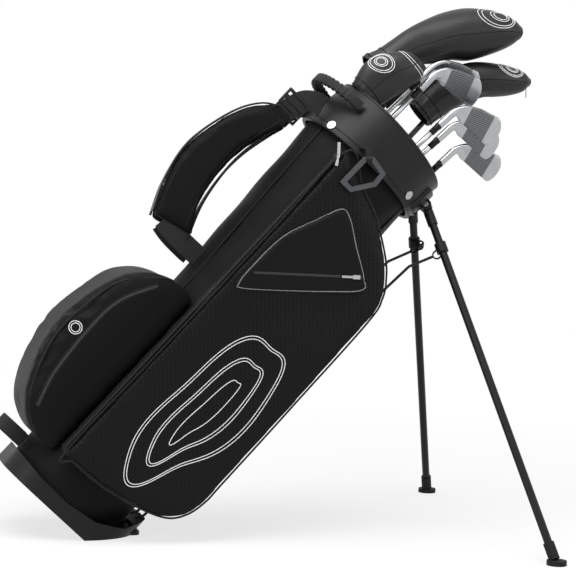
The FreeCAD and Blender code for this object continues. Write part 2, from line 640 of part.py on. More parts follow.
def iron_head(start, loft_angle):
    """Forged blade: hosel up from start, then heel, sole and toe, leaning back by the loft."""
    lie = math.radians(size("lie"))
    long, heel, toe = size("blade_long"), size("blade_heel"), size("blade_toe")
    bend = start + size("hosel_long")
    out = Vector(math.sin(lie), 0, math.cos(lie))
    down = Vector(math.cos(lie), 0, -math.sin(lie))
    corner = Vector(-4, 0, bend + 10)
    lead = [corner, corner + out * (long * 0.5) + down * -3, corner + out * (long * 0.92) + down * 2]
    tip = [lead[-1], corner + out * (long + 3) + down * (toe * 0.42), corner + out * (long * 0.9)
           + down * toe]
    top = corner + out * 16 + down * heel
    edges = []
    for points in (lead, tip):
        curve = Part.BSplineCurve()
        curve.interpolate(points)
        edges.append(curve.toShape())
    edges.append(Part.LineSegment(tip[-1], top).toShape())
    edges.append(Part.LineSegment(top, corner).toShape())
    face = Part.Face(Part.Wire(edges))
    thick = size("blade_thick")
    blade = face.extrude(Vector(0, thick, 0))
    blade.translate(Vector(0, -thick / 2, 0))
    sole = Part.makeBox(long * 0.86, size("sole_wide"), 13, Vector(0, -thick / 2, -13))
    sole = sole.makeChamfer(4, [edge for edge in sole.Edges if edge.CenterOfMass.y > 8
                                and edge.CenterOfMass.z < -10 and edge.Length > 40])
    sole.Placement = Placement(corner + out * 6, Rotation(out, Y, down * -1, "XYZ"))
    head = blade.fuse(sole.common(face.extrude(Vector(0, 60, 0)).fuse(
        face.extrude(Vector(0, -60, 0)))))
    hinge = corner + down * (heel * 0.5)
    head.rotate(hinge, out, loft_angle)
    neck = revolve([(size("hosel_radius"), start), (size("hosel_radius"), bend - 12),
                    (5.6, bend + 4), (4.2, bend + 9)])
    return joined([head, neck])


def build_iron(name, out, across, tilt, reach, loft_angle):
    place = club_place(out, across, tilt, "floor_high")
    start = reach - place.Base.z
    parts = grip_and_shaft(start, size("shaft_radius") * 0.98, size("ferrule_long"))
    for label, shape in ((name + "_head", iron_head(start, loft_angle)),
                         (name + "_shaft", Part.makeCompound(parts))):
        piece = finish(shaped(label, shape), label)
        piece.Placement = place


# a wood's stations: height from the hosel start, x, y of the middle, half depth, half width
DRIVER = [(0, 0, 0, 7, 7), (34, 2, 1, 8, 8), (48, 12, 8, 22, 20), (66, 26, 25, 42, 38),
          (92, 46, 35, 53, 47), (116, 62, 31, 46, 42), (134, 74, 22, 27, 26), (142, 80, 18, 10, 10)]
FAIRWAY = [(0, 0, 0, 7, 7), (30, 2, 1, 8, 8), (44, 14, 3, 22, 15), (62, 30, 6, 37, 25),
           (84, 46, 8, 42, 29), (104, 60, 8, 32, 24), (118, 70, 8, 14, 13)]
HYBRID = [(0, 0, 0, 7, 7), (26, 1, 1, 8, 8), (40, 8, 2, 18, 13), (60, 16, 3, 27, 19),
          (80, 24, 4, 25, 18), (94, 30, 4, 12, 11)]
PUTTER = [(0, 0, 0, 6.5, 6.5), (14, 1, 0, 8, 8), (22, 6, 0, 17, 14), (34, 10, 0, 21, 16),
          (44, 12, 0, 17, 13)]


def station_loft(stations, grow):
    """Closed solid through ellipses that lie across the club."""
    wires = []
    for rise, out, across, deep, side in stations:
        long_axis, short_axis = max(deep, side) + grow, min(deep, side) + grow
        curve = Part.Ellipse(Vector(0, 0, 0), long_axis, short_axis)
        wire = Part.Wire(curve.toShape())
        wire.Placement = Placement(Vector(out, across, rise), Rotation())
        wires.append(wire)
    return Part.makeLoft(wires, True, False)


def build_wood(name, out, across, tilt, floor, reach, stations, neck_long, neck_side):
    place = club_place(out, across, tilt, floor)
    start = reach - place.Base.z
    raised = [(rise + start, x, y, deep, side) for rise, x, y, deep, side in stations]
    head = station_loft(raised, 0.0)
    parts = grip_and_shaft(start, 5.0, 14)
    shell = [(start - neck_long, 0, 0, neck_side, neck_side - 3),
             (start - neck_long * 0.3, 2, 1, neck_side - 4, neck_side - 7)]
    shell += [(rise, x, y, max(deep + 1.9, neck_side - 4), max(side + 1.9, neck_side - 7))
              for rise, x, y, deep, side in raised[2:-1]]
    last = raised[-1]
    shell.append((last[0] + 6, last[1], last[2], last[3] + 5, last[4] + 5))
    gap, wall = size("cover_gap"), size("cover_wall")
    cover = station_loft(shell, gap + wall)
    lining = [(shell[0][0] - 0.01,) + shell[0][1:]] + shell[1:-1]
    lining.append((shell[-1][0] - wall,) + shell[-1][1:])
    cover = cover.cut(station_loft(lining, gap))
    for label, shape in ((name + "_head", head), (name + "_shaft", Part.makeCompound(parts)),
                         (name + "_cover", cover)):
        piece = finish(shaped(label, shape), label)
        piece.Placement = place


# ---------------------------------------------------------------- straps, loops and zips
NEAR_STRAP = -43.0
PAD_OUTER = [(-239, 485), (-263, 539), (-277, 600), (-274, 652), (-256, 718), (-231, 759),
             (-201, 780)]
LOW_WEBBING = [(-216, 489.6), (-178, 496.4), (-115, 505), (-115, 467), (-200, 469)]
HIGH_WEBBING = [(-204, 780.6), (-204.5, 800), (-158, 846), (-128, 846), (-128, 810), (-150, 810),
                (-166.5, 794), (-166, 764), (-172, 770.8)]
PAD_INNER = [(-174, 771), (-180, 743), (-193, 682), (-195, 627), (-185, 561), (-162, 499)]


def build_straps():
    """Two padded shoulder straps that arch off the back, their webbing and ladder buckles."""
    bands, buckles = [], []
    half = size("strap_thick") / 2
    thin = size("webbing_thick")
    for name, side in SIDES:
        shift = 0 if side < 0 else size("strap_shift")
        middle = -side * NEAR_STRAP
        last = len(PAD_OUTER) + len(PAD_INNER)
        shape = [(x + shift, z) for x, z in PAD_OUTER + PAD_INNER]
        pad = slab(shape, middle - half, middle + half, smooth=((0, 6), (7, last - 1)))
        finish(shaped(f"strap_pad_{name}", pad), f"strap_pad_{name}")
        for run in (LOW_WEBBING, HIGH_WEBBING):
            band = slab([(x + shift, z) for x, z in run], middle - thin / 2, middle + thin / 2)
            bands.append(band.cut([tube_body(0.3), collar_body(0.3), pad]))
        low, high = middle - size("buckle_thick") / 2, middle + size("buckle_thick") / 2
        frame = Part.makeBox(size("buckle_wide"), high - low, 31, Vector(-212 + shift, low, 781))
        cut = [Part.makeBox(size("webbing_wide") + 3, high - low, 7, Vector(-208 + shift, low, rise))
               for rise in (785, 800)]
        room = slab([(x + shift, z) for x, z in HIGH_WEBBING], middle - thin / 2 - 0.3,
                    middle + thin / 2 + 0.3)
        buckles.append(frame.cut(cut + [room.makeOffsetShape(0.3, 0.01, join=2)]))
    finish(shaped("strap_webbing", Part.makeCompound(bands)), "strap_webbing")
    finish(shaped("strap_buckles", Part.makeCompound(buckles)), "strap_buckles")


def collar_body(grow):
    """Collar's outer surface, grown, as a cutter."""
    rings = []
    for rise, middle, deep, side in collar_stations("0"):
        curve = Part.Ellipse(Vector(worth(middle), 0, worth(rise)), worth(deep) + grow,
                             worth(side) + grow)
        rings.append(Part.Wire(curve.toShape()))
    return Part.makeLoft(rings, True)


def build_loops():
    """Webbing grab loop over the base's back edge, and the tab that holds the towel ring."""
    thin = size("webbing_thick")
    loop = slab([(-112, 62), (-150, 67), (-176, 63), (-183, 52), (-175, 42), (-150, 37.6),
                 (-112, 38.6)], -16, 16, smooth=((0, 6),))
    hole = slab([(-108, 62 - thin), (-149, 67 - thin), (-174, 63 - thin), (-183 + thin, 52),
                 (-174, 42 + thin), (-149, 37.6 + thin), (-108, 38.6 + thin)], -20, 20,
                smooth=((0, 6),))
    loop = loop.cut([hole, tube_body(0.3)])
    finish(shaped("grab_loop", loop), "grab_loop")


def ring_frame():
    """Towel ring's bar: level when the bag leans; z points up in the leaning bag."""
    level = Vector(math.cos(math.radians(size("lean"))), 0, math.sin(math.radians(size("lean"))))
    return Placement(Vector(-49, -156.5, 801), Rotation(level, Y, UP, "XYZ"))


def build_towel_ring():
    place = ring_frame()
    corners = [Vector(-9, 0, 3), Vector(9, 0, 3), Vector(31, 0, -25), Vector(14, 0, -47),
               Vector(-31, 0, -58), Vector(-50, 0, -41)]
    wire = Part.makePolygon(corners + [corners[0]])
    hole = wire.makeOffset2D(-8.5, 2)
    half = Y * 2
    plate = Part.Face(wire).extrude(half * 2).translated(half * -1)
    plate = plate.cut(Part.Face(hole).extrude(half * 4).translated(half * -2))
    plate = plate.cut(Part.makeBox(11.2, 10, 9.6, Vector(-5.6, -5, -6.4)))
    plate = plate.fuse(rod(2, X * -7, X * 7))
    ring = finish(shaped("towel_ring", plate), "towel_ring")
    ring.Placement = place
    sleeve = rod(3.6, X * -5.2, X * 5.2).cut(rod(2.25, X * -8, X * 8))
    tail = Part.makeBox(10.4, 1.5, 16, Vector(-5.2, 2.1, 0))
    tab = joined([sleeve, tail]).transformGeometry(place.toMatrix())
    top = place.multVec(Vector(0, 2.85, 15))
    end = Vector(top.x, -100, top.z + 6)
    strip = Part.makeBox(10.4, 1.5, (end - top).Length, Vector(-5.2, -0.75, 0))
    rise = (end - top).normalize()
    level = place.Rotation.multVec(X)
    across = rise.cross(level)
    strip.Placement = Placement(top, Rotation(level, across, rise, "XZY"))
    tab = tab.fuse(strip).cut([collar_body(0.2), tube_body(0.3)])
    tab = tab.cut(doc.getObject("near_side_pocket").Shape)
    solids = sorted(tab.Solids, key=lambda solid: solid.Volume)
    finish(shaped("ring_tab", solids[-1]), "ring_tab")


def build_rivets():
    """Domed snap rivets through the collar."""
    rivets = []
    for out, across, rise in ((-120, -74, 811), (62, -92, 818), (-120, 74, 811), (62, 92, 818)):
        aim = Vector(out - size("collar_foot_set"), across, 0).normalize()
        axis_point = Vector(size("collar_foot_set"), 0, rise)
        line = rod(size("rivet_radius"), axis_point, axis_point + aim * 160)
        skin = collar_body(2.2).cut(collar_body(0.05))
        rivets.append(line.common(skin))
    finish(shaped("snap_rivets", Part.makeCompound(rivets)), "snap_rivets")


def build_stays():
    """Two fibreglass stays that hold the fabric tube up between floor and collar."""
    foot, top = size("floor_high") + 0.3, size("tube_top_rise") - 2
    rods = [rod(3, Vector(-8, side * 91.5, foot), Vector(-20, side * 100, top)) for side in (-1, 1)]
    finish(shaped("inner_stays", Part.makeCompound(rods)), "inner_stays")


def build_sliders():
    """Zip sliders with their hanging pulls."""
    down = UP * -1
    level = Vector(-down.z, 0, down.x)
    side = -(size("pocket_side") - 14)
    body = Part.makeBox(5, 8, 15, Vector(-92.6, side - 4, 762))
    link = Part.makeBox(3, 14, 4, Vector(-92.6, side - 18, 766))
    pull = Part.makeBox(5, 1.8, 21, Vector(-2.5, -0.9, 0))
    pull.Placement = Placement(Vector(-91.7, side - 17.1, 769), Rotation(level, Y, down, "XYZ"))
    finish(shaped("main_zip_slider", joined([body, link, pull])), "main_zip_slider")

    outer = -size("pocket_side") - 0.3 - size("pouch_thick")
    along = (Vector(83, 0, 647) - Vector(-60, 0, 523)).normalize()
    frame = Placement(Vector(76, outer - 0.3, 641), Rotation(along, Y * -1, along.cross(Y * -1), "XYZ"))
    body = Part.makeBox(13, 3.5, 7, Vector(-6.5, 0, -3.5))
    tab = Part.makeBox(22, 1.6, 4, Vector(-26, 2.2, -2))
    slider = joined([body, tab])
    piece = finish(shaped("pouch_zip_slider", slider), "pouch_zip_slider")
    piece.Placement = frame

    outer = -size("ball_side") - 0.3
    body = Part.makeBox(7, 3.5, 13, Vector(-189.5, outer - 3.5, 300))
    tab = Part.makeBox(4, 1.6, 24, Vector(-188, outer - 3.8, 280))
    finish(shaped("ball_zip_slider", joined([body, tab])), "ball_zip_slider")


# ---------------------------------------------------------------- build
build_base_cup()
build_tube()
build_floor()
build_collar()
build_bracket()
for name, side in SIDES:
    build_leg(name, side)
build_rocker()
for name, side in SIDES:
    build_rod(name, side)
doc.recompute()
for name, side in SIDES:
    build_side_pocket(name, side)
build_ball_pocket()
build_pouch()
build_tapes()
build_straps()
build_loops()
build_towel_ring()
build_rivets()
build_stays()
build_sliders()
for iron in IRONS:
    build_iron(*iron)
HEADS = {"DRIVER": DRIVER, "FAIRWAY": FAIRWAY, "HYBRID": HYBRID, "PUTTER": PUTTER}
for name, out, across, tilt, floor, reach, head, neck_long, neck_side in WOODS:
    build_wood(name, out, across, tilt, floor, reach, HEADS[head], neck_long, neck_side)
doc.recompute()

# ---------------------------------------------------------------- stand it on the floor
LEAN = Placement(Vector(0, 0, 0), Rotation(Vector(0, 1, 0), size("lean")))
STAND = LEAN.multiply(Placement(HEEL * -1, Rotation()))
boxes = []
for piece in pieces:
    if piece.State and ("Invalid" in piece.State or "Error" in piece.State):
        raise RuntimeError(piece.Label + " failed to rebuild")
    shape = piece.Shape
    if shape.isNull() or not shape.isValid():
        raise RuntimeError(piece.Label + " has no valid shape")
    piece.Placement = STAND.multiply(piece.Placement)
    boxes.append(piece.Shape.optimalBoundingBox(False, False))
for obj in doc.Objects:
    if "Invalid" in obj.State or "Error" in obj.State:
        raise RuntimeError(obj.Label + " failed to rebuild")

low, high = min(box.XMin for box in boxes), max(box.XMax for box in boxes)
CENTRE = Placement(Vector(-(low + high) / 2, 0, 0), Rotation())
for piece in pieces:
    piece.Placement = CENTRE.multiply(piece.Placement)
    piece.Shape.exportStep(os.path.join("parts", piece.Label + ".step"))
print("pieces", len(pieces), "shift", CENTRE.Base, "x", low, high)
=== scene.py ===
import json
import math
import bmesh
import bpy
import numpy as np
from mathutils import Matrix, Vector


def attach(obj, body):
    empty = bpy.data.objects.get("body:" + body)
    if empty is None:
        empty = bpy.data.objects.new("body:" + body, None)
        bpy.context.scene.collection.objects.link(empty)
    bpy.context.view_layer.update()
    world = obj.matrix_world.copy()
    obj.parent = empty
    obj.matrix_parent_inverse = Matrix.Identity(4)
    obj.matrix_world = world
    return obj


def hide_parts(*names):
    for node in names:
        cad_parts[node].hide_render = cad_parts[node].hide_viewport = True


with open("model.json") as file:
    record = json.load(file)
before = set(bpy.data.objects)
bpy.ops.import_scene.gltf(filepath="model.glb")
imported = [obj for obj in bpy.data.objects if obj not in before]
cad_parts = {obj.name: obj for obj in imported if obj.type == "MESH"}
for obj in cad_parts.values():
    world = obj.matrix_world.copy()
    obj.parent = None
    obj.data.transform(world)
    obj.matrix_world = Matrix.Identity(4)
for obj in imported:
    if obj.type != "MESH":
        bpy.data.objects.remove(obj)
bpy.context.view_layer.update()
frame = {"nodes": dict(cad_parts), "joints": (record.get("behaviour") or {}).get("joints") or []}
scene = bpy.context.scene
nodes = frame["nodes"]

# ---------------------------------------------------------------- Studio: camera, floor, light
# The set stands on a white studio floor under a large soft lamp overhead and two weaker ones.
# The bag leans at 42.2 degrees, and all its own sizes are in millimetres up its axis from the
# sole; stood() puts such points where the leaning bag is.
LEAN = math.radians(42.2)
TURN = np.array([[math.cos(LEAN), 0, math.sin(LEAN)], [0, 1, 0], [-math.sin(LEAN), 0, math.cos(LEAN)]])
LEG_PIVOT = np.array([112.2, -41.0, 836.2])
fold = next(joint for joint in frame["joints"] if joint["name"] == "near_leg_fold")
SEAT = np.array(fold["pos_m"]) - TURN @ LEG_PIVOT / 1000


def stood(points):
    """Bag millimetres to row metres: turned by the lean about y, then moved to the bag's seat."""
    return np.asarray(points, float) @ TURN.T / 1000 + SEAT


# the camera's heading, its dip below level and its roll, in radians
heading, tip, roll = 0.2494, 0.074, 0.0379
ahead = np.array([math.sin(heading) * math.cos(tip), math.cos(heading) * math.cos(tip), -math.sin(tip)])
level = np.array([math.cos(heading), -math.sin(heading), 0])
upright = np.cross(level, ahead)
right = math.cos(roll) * level + math.sin(roll) * upright
up = math.cos(roll) * upright - math.sin(roll) * level
eye = stood([56.4, 0, 0]) + np.array([-0.5706, -3.6694, 0.7094])
camera = bpy.data.objects.new("camera", bpy.data.cameras.new("camera"))
scene.collection.objects.link(camera)
camera.matrix_world = Matrix([[*row, place] for row, place in zip(np.array([right, up, -ahead]).T, eye)]
                             + [[0, 0, 0, 1]])
camera.data.sensor_width = 36
camera.data.lens = 134.039375
camera.data.shift_x = 0.002105729
scene.camera = camera
scene.view_settings.view_transform = "Standard"


def paint(hexed):
    """sRGB hex to the linear colour that the nodes read: each channel through the sRGB curve."""
    channels = np.array([int(hexed[place:place + 2], 16) for place in (0, 2, 4)]) / 255
    linear = np.where(channels <= 0.04045, channels / 12.92, ((channels + 0.055) / 1.055) ** 2.4)
    return (*linear.tolist(), 1.0)


def node(tree, kind, inputs=None, **settings):
    """Adds a node; inputs maps a socket's name or number to a value or to an output to link."""
    made = tree.nodes.new(kind)
    for key, value in settings.items():
        setattr(made, key, value)
    for key, value in (inputs or {}).items():
        if isinstance(value, bpy.types.NodeSocket):
            tree.links.new(value, made.inputs[key])
        else:
            made.inputs[key].default_value = value
    return made


def bare(name):
    """New material with an empty tree and its output."""
    made = bpy.data.materials.new(name)
    made.use_nodes = True
    made.node_tree.nodes.clear()
    return made, made.node_tree, node(made.node_tree, "ShaderNodeOutputMaterial")


def looked_at(tree):
    """1 for a ray straight from the camera or off a glossy face, 0 for the light that falls on the set."""
    path = node(tree, "ShaderNodeLightPath")
    return node(tree, "ShaderNodeMath", {0: path.outputs["Is Camera Ray"], 1: path.outputs["Is Glossy Ray"]},
                operation="MAXIMUM")


# white painted floor: matt near the set, and fading into the white behind it further off
floor_white, tree, out = bare("matt white floor paint")
seen = looked_at(tree)
spot = node(tree, "ShaderNodeTexCoord").outputs["Object"]
away = node(tree, "ShaderNodeVectorMath", {0: spot}, operation="LENGTH")
fade = node(tree, "ShaderNodeMapRange", {"Value": away.outputs["Value"], 1: 0.75, 2: 1.7, 3: 0.72, 4: 1.0})
share = node(tree, "ShaderNodeMath", {0: seen.outputs[0], 1: fade.outputs[0]}, operation="MULTIPLY")
matt = node(tree, "ShaderNodeBsdfDiffuse", {"Color": paint("f4f4f4")})
glow = node(tree, "ShaderNodeEmission", {"Color": paint("ffffff"), "Strength": 1.0})
mixed = node(tree, "ShaderNodeMixShader", {0: share.outputs[0], 1: matt.outputs[0], 2: glow.outputs[0]})
tree.links.new(mixed.outputs[0], out.inputs["Surface"])
ground = bpy.data.meshes.new("floor")
ground.from_pydata([(-40, -40, 0), (40, -40, 0), (40, 40, 0), (-40, 40, 0)], [], [(0, 1, 2, 3)])
ground.materials.append(floor_white)
floor = bpy.data.objects.new("floor", ground)
scene.collection.objects.link(floor)

world = bpy.data.worlds.new("studio")
world.use_nodes = True
scene.world = world
tree = world.node_tree
tree.nodes.clear()
seen = looked_at(tree)
around = node(tree, "ShaderNodeBackground", {"Color": paint("ffffff"), "Strength": 0.42})
white = node(tree, "ShaderNodeBackground", {"Color": paint("ffffff"), "Strength": 1.0})
mixed = node(tree, "ShaderNodeMixShader", {0: seen.outputs[0], 1: around.outputs[0], 2: white.outputs[0]})
node(tree, "ShaderNodeOutputWorld", {"Surface": mixed.outputs[0]})

for label, place, size, power in (("lamp_top", (-0.5, -0.9, 3.2), 2.4, 95),
                                  ("lamp_left", (-3.0, -1.6, 1.5), 1.6, 20),
                                  ("lamp_right", (2.8, -2.6, 1.6), 1.8, 26)):
    lamp = bpy.data.lights.new(label, "AREA")
    lamp.size = size
    lamp.energy = power
    hung = bpy.data.objects.new(label, lamp)
    hung.location = place
    hung.rotation_euler = (Vector((0, 0, 0.45)) - Vector(place)).to_track_quat("-Z", "Y").to_euler()
    scene.collection.objects.link(hung)


# ---------------------------------------------------------------- Moulded base and rocker
# The base cup and the rocker plate under it are injection moulded in black polypropylene with a
# fine spark-eroded grain, and the foam floor inside is cut from closed-cell EVA sheet.
def finish_nodes(material, *names):
    """Gives CAD nodes a material in every slot."""
    for name in names:
        mesh = nodes[name].data
        mesh.materials.clear()
        mesh.materials.append(material)


def moulded(name, tone, pale, rough, grain, scuff=0.35):
    """Moulded plastic: fine grain bump over a slow change of tone, and dull scuffs on the roughness."""
    made, tree, out = bare(name)
    place = node(tree, "ShaderNodeTexCoord").outputs["Object"]
    cloud = node(tree, "ShaderNodeTexNoise", {"Vector": place, "Scale": 14.0, "Detail": 4.0})
    colour = node(tree, "ShaderNodeMix", {0: cloud.outputs[0], 6: paint(tone), 7: paint(pale)},
                  data_type="RGBA")
    fine = node(tree, "ShaderNodeTexNoise", {"Vector": place, "Scale": 1 / grain, "Detail": 2.0})
    rub = node(tree, "ShaderNodeTexNoise", {"Vector": place, "Scale": 45.0, "Detail": 6.0})
    dull = node(tree, "ShaderNodeMapRange", {"Value": rub.outputs[0], 3: rough - 0.08, 4: rough + scuff * 0.3})
    relief = node(tree, "ShaderNodeBump", {"Height": fine.outputs[0], "Strength": 0.25, "Distance": 0.0005})
    shader = node(tree, "ShaderNodeBsdfPrincipled", {
        "Base Color": colour.outputs[2], "Roughness": dull.outputs[0], "Normal": relief.outputs[0],
        "Specular IOR Level": 0.24, "IOR": 1.49})
    tree.links.new(shader.outputs[0], out.inputs["Surface"])
    return made


# polypropylene, moulded with a 2 mm grain drawn coarse enough to show: a soft satin black
polypropylene = moulded("moulded black polypropylene", "0b0b0c", "121214", 0.46, 0.002)
finish_nodes(polypropylene, "base_cup", "rocker_foot", "divider_bars")
# closed-cell EVA, skived: dull dark grey with a crumbly surface
foam = moulded("closed-cell EVA foam", "1d1d1f", "2a2a2c", 0.85, 0.003)
finish_nodes(foam, "base_floor")


# ---------------------------------------------------------------- Bag tube
# The body is 600-denier polyester with a polyurethane back, sewn into a tube over two stays.
# It pulls into shallow slanting folds, and bound seams run down it beside the pockets.
def woven(name, tone, pale, thread, rough, relief, sheen=0.05):
    """Plain weave: bands along and across the bag multiplied together, over cloudy dye and rubbed patches."""
    made, tree, out = bare(name)
    place = node(tree, "ShaderNodeTexCoord").outputs["Object"]
    turned = node(tree, "ShaderNodeMapping", {"Vector": place, "Rotation": (0, -LEAN, 0)})
    warp = node(tree, "ShaderNodeTexWave", {"Vector": turned.outputs[0], "Scale": 0.314 / thread,
                                            "Distortion": 0.6}, bands_direction="DIAGONAL")
    weft = node(tree, "ShaderNodeTexWave", {"Vector": turned.outputs[0], "Scale": 0.314 / thread,
                                            "Distortion": 0.6}, bands_direction="Z")
    cross = node(tree, "ShaderNodeMath", {0: warp.outputs["Fac"], 1: weft.outputs["Fac"]},
                 operation="MULTIPLY")
    cloud = node(tree, "ShaderNodeTexNoise", {"Vector": place, "Scale": 9.0, "Detail": 5.0})
    tint = node(tree, "ShaderNodeMath", {0: cross.outputs[0], 1: cloud.outputs[0]}, operation="MULTIPLY")
    colour = node(tree, "ShaderNodeMix", {0: tint.outputs[0], 6: paint(tone), 7: paint(pale)},
                  data_type="RGBA")
    rub = node(tree, "ShaderNodeMapRange", {"Value": cloud.outputs[0], 3: rough - 0.08, 4: rough + 0.1})
    bump = node(tree, "ShaderNodeBump", {"Height": cross.outputs[0], "Strength": relief,
                                         "Distance": thread / 4})
    shader = node(tree, "ShaderNodeBsdfPrincipled", {
        "Base Color": colour.outputs[2], "Roughness": rub.outputs[0], "Normal": bump.outputs[0],
        "Specular IOR Level": 0.12, "Sheen Weight": sheen, "Sheen Roughness": 0.4})
    tree.links.new(shader.outputs[0], out.inputs["Surface"])
    return made


def surface(name, grid, material, body="bag", round_rows=False, round_cols=False, capped=False):
    """Mesh on a grid of points (rows, columns, 3), four neighbours to a face, wrapped round where asked.

    The UV map holds the distance in metres along the rows and along the columns.
    """
    rows, cols = grid.shape[:2]
    index = np.arange(rows * cols).reshape(rows, cols)
    wide = grid
    if round_cols:
        index = np.concatenate([index, index[:, :1]], axis=1)
        wide = np.concatenate([wide, wide[:, :1]], axis=1)
    if round_rows:
        index = np.concatenate([index, index[:1]], axis=0)
        wide = np.concatenate([wide, wide[:1]], axis=0)
    faces = np.stack([index[:-1, :-1], index[:-1, 1:], index[1:, 1:], index[1:, :-1]], axis=-1)
    run = np.zeros(wide.shape[:2])
    run[1:] = np.cumsum(np.linalg.norm(np.diff(wide, axis=0), axis=-1), axis=0)
    girth = np.zeros(wide.shape[:2])
    girth[:, 1:] = np.cumsum(np.linalg.norm(np.diff(wide, axis=1), axis=-1), axis=1)
    spread = np.stack([run, girth], axis=-1)
    uv = np.stack([spread[:-1, :-1], spread[:-1, 1:], spread[1:, 1:], spread[1:, :-1]], axis=2)
    ends = [index[0, :cols][::-1].tolist(), index[-1, :cols].tolist()] if capped else []
    mesh = bpy.data.meshes.new(name)
    mesh.from_pydata(grid.reshape(-1, 3).tolist(), [], faces.reshape(-1, 4).tolist() + ends)
    mesh.materials.append(material)
    layer = mesh.uv_layers.new(name="UVMap")
    flat = np.zeros((len(mesh.loops), 2))
    flat[:uv.size // 2] = uv.reshape(-1, 2)
    layer.data.foreach_set("uv", flat.ravel())
    mesh.polygons.foreach_set("use_smooth", np.ones(len(mesh.polygons), bool))
    shaper = bmesh.new()
    shaper.from_mesh(mesh)
    bmesh.ops.recalc_face_normals(shaper, faces=shaper.faces)
    shaper.to_mesh(mesh)
    shaper.free()
    made = bpy.data.objects.new(name, mesh)
    scene.collection.objects.link(made)
    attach(made, body)
    return made


def walled(piece, thick):
    """Gives an open sheet its thickness, inwards from the face that shows."""
    wall = piece.modifiers.new("wall", "SOLIDIFY")
    wall.thickness = thick
    wall.offset = -1
    return piece


# stations up the tube: height, how far its centre is set forward, and its two half widths
TUBE_RISE = np.array([-5.0, 60, 475, 649.5, 824])
TUBE_SET = np.array([-6.0, -6, -12, -17, -20])
TUBE_DEEP = np.array([113.0, 113, 109, 114, 118])
TUBE_SIDE = np.array([100.0, 100, 104, 107, 109])


def tube_skin(rise, turn, out=0.0):
    """Point of the tube: an ellipse at each height, its centre and radii read between the stations."""
    middle, deep, side = (np.interp(rise, TUBE_RISE, run) for run in (TUBE_SET, TUBE_DEEP, TUBE_SIDE))
    return np.stack([middle + (deep + out) * np.cos(turn), (side + out) * np.sin(turn),
                     rise + 0 * turn], axis=-1)


rise, turn = np.meshgrid(np.linspace(14, 822, 190), np.linspace(0, 2 * np.pi, 240, endpoint=False),
                         indexing="ij")
folds = (1.3 * np.sin(rise / 47 + 3 * turn) * np.sin(rise / 131 + 1.0) ** 2
         + 0.8 * np.sin(rise / 19 - 5 * turn) * np.cos(rise / 210 + turn) ** 2) - 1.6
# in front of the heel the tube's foot is cut along the cup's chamfer, 62 mm up in 68.2 mm
HEEL, CHAMFER = 56.4, 62 / 68.2
foot_cut = 26 + (tube_skin(rise, turn)[..., 0] - HEEL) * CHAMFER
lifted = np.maximum(rise, np.minimum(foot_cut, 90) * (foot_cut > 14))
nylon = woven("polyurethane-backed polyester cloth", "08080a", "111113", 0.0035, 0.58, 0.18)
tube = walled(surface("bag_tube_cloth", stood(tube_skin(lifted, turn, folds)), nylon, round_cols=True),
              0.0022)
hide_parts("bag_tube")


def carried(path, profile, reference=(0.0, 1.0, 0.0), looped=False):
    """Grid of a profile carried along a path.

    At each point the profile's first axis is the path's direction crossed with the reference, and
    its second is the one square to both.
    """
    path = np.asarray(path, float)
    ahead = np.roll(path, -1, axis=0) - np.roll(path, 1, axis=0) if looped else np.gradient(path, axis=0)
    ahead = ahead / np.linalg.norm(ahead, axis=1, keepdims=True)
    first = np.cross(ahead, np.broadcast_to(reference, path.shape))
    first = first / np.linalg.norm(first, axis=1, keepdims=True)
    second = np.cross(first, ahead)
    profile = np.asarray(profile, float)
    return (path[:, None] + profile[None, :, :1] * first[:, None]
            + profile[None, :, 1:] * second[:, None])


def ring_of(radius, count=12):
    """Points of a circle, as a profile."""
    turn = np.linspace(0, 2 * np.pi, count, endpoint=False)
    return radius * np.stack([np.cos(turn), np.sin(turn)], axis=-1)


def flat_of(wide, thick, count=8):
    """Profile of a strip with rounded edges: a rounded box through a high power of cosine and sine."""
    turn = np.linspace(0, 2 * np.pi, 4 * count, endpoint=False)
    edge = np.stack([np.cos(turn), np.sin(turn)], axis=-1)
    return np.array([wide, thick]) / 2 * np.sign(edge) * np.abs(edge) ** 0.35


def drawn(points, count, looped=False):
    """Smooth line through points: on each stretch a cubic whose slopes come from the neighbours."""
    points = np.asarray(points, float)
    if looped:
        held = np.concatenate([points[-1:], points, points[:2]])
    else:
        held = np.concatenate([2 * points[:1] - points[1:2], points, 2 * points[-1:] - points[-2:-1]])
    where = np.linspace(0, len(held) - 3, count, endpoint=not looped)
    step = np.minimum(where.astype(int), len(held) - 4)
    part = (where - step)[:, None]
    a, b, c, d = (held[step + shift] for shift in range(4))
    return 0.5 * (2 * b + (c - a) * part + (2 * a - 5 * b + 4 * c - d) * part ** 2
                  + (3 * b - a - 3 * c + d) * part ** 3)


def trimmed(name, line, profile, material, body="bag", reference=(0.0, 1.0, 0.0), looped=False):
    """Seam, tape, piping or print: a profile carried along a line in bag millimetres, or round a loop."""
    made = surface(name, stood(carried(line, profile, reference, looped)), material, body,
                   round_rows=looped, round_cols=True, capped=not looped)
    return made


# narrow woven binding tape folded over the seams: a satin charcoal line
binding = woven("polyester binding tape", "131315", "212124", 0.002, 0.4, 0.3, 0.15)
for label, turn_at, low, high in (("strap_near", 3.62, 120, 800), ("strap_far", 2.66, 120, 800),
                                  ("leg_near", -0.62, 110, 812), ("leg_far", 0.62, 110, 812)):
    run = np.linspace(low, high, 90)
    trimmed("body_seam_" + label, tube_skin(run, np.full(90, turn_at), -0.4), ring_of(1.7, 8), binding,
            reference=(0, 0.3, 0.1))


# ---------------------------------------------------------------- Collar, handle and rivets
# The collar is moulded in glass-filled nylon, with a rolled rim; the ribbed lift handle is its own
# softer moulding, and four nickel snap rivets fix the strap tabs.
glass_nylon = moulded("moulded glass-filled nylon", "0d0d0e", "151517", 0.4, 0.0025)
finish_nodes(glass_nylon, "collar_ring", "leg_bracket")


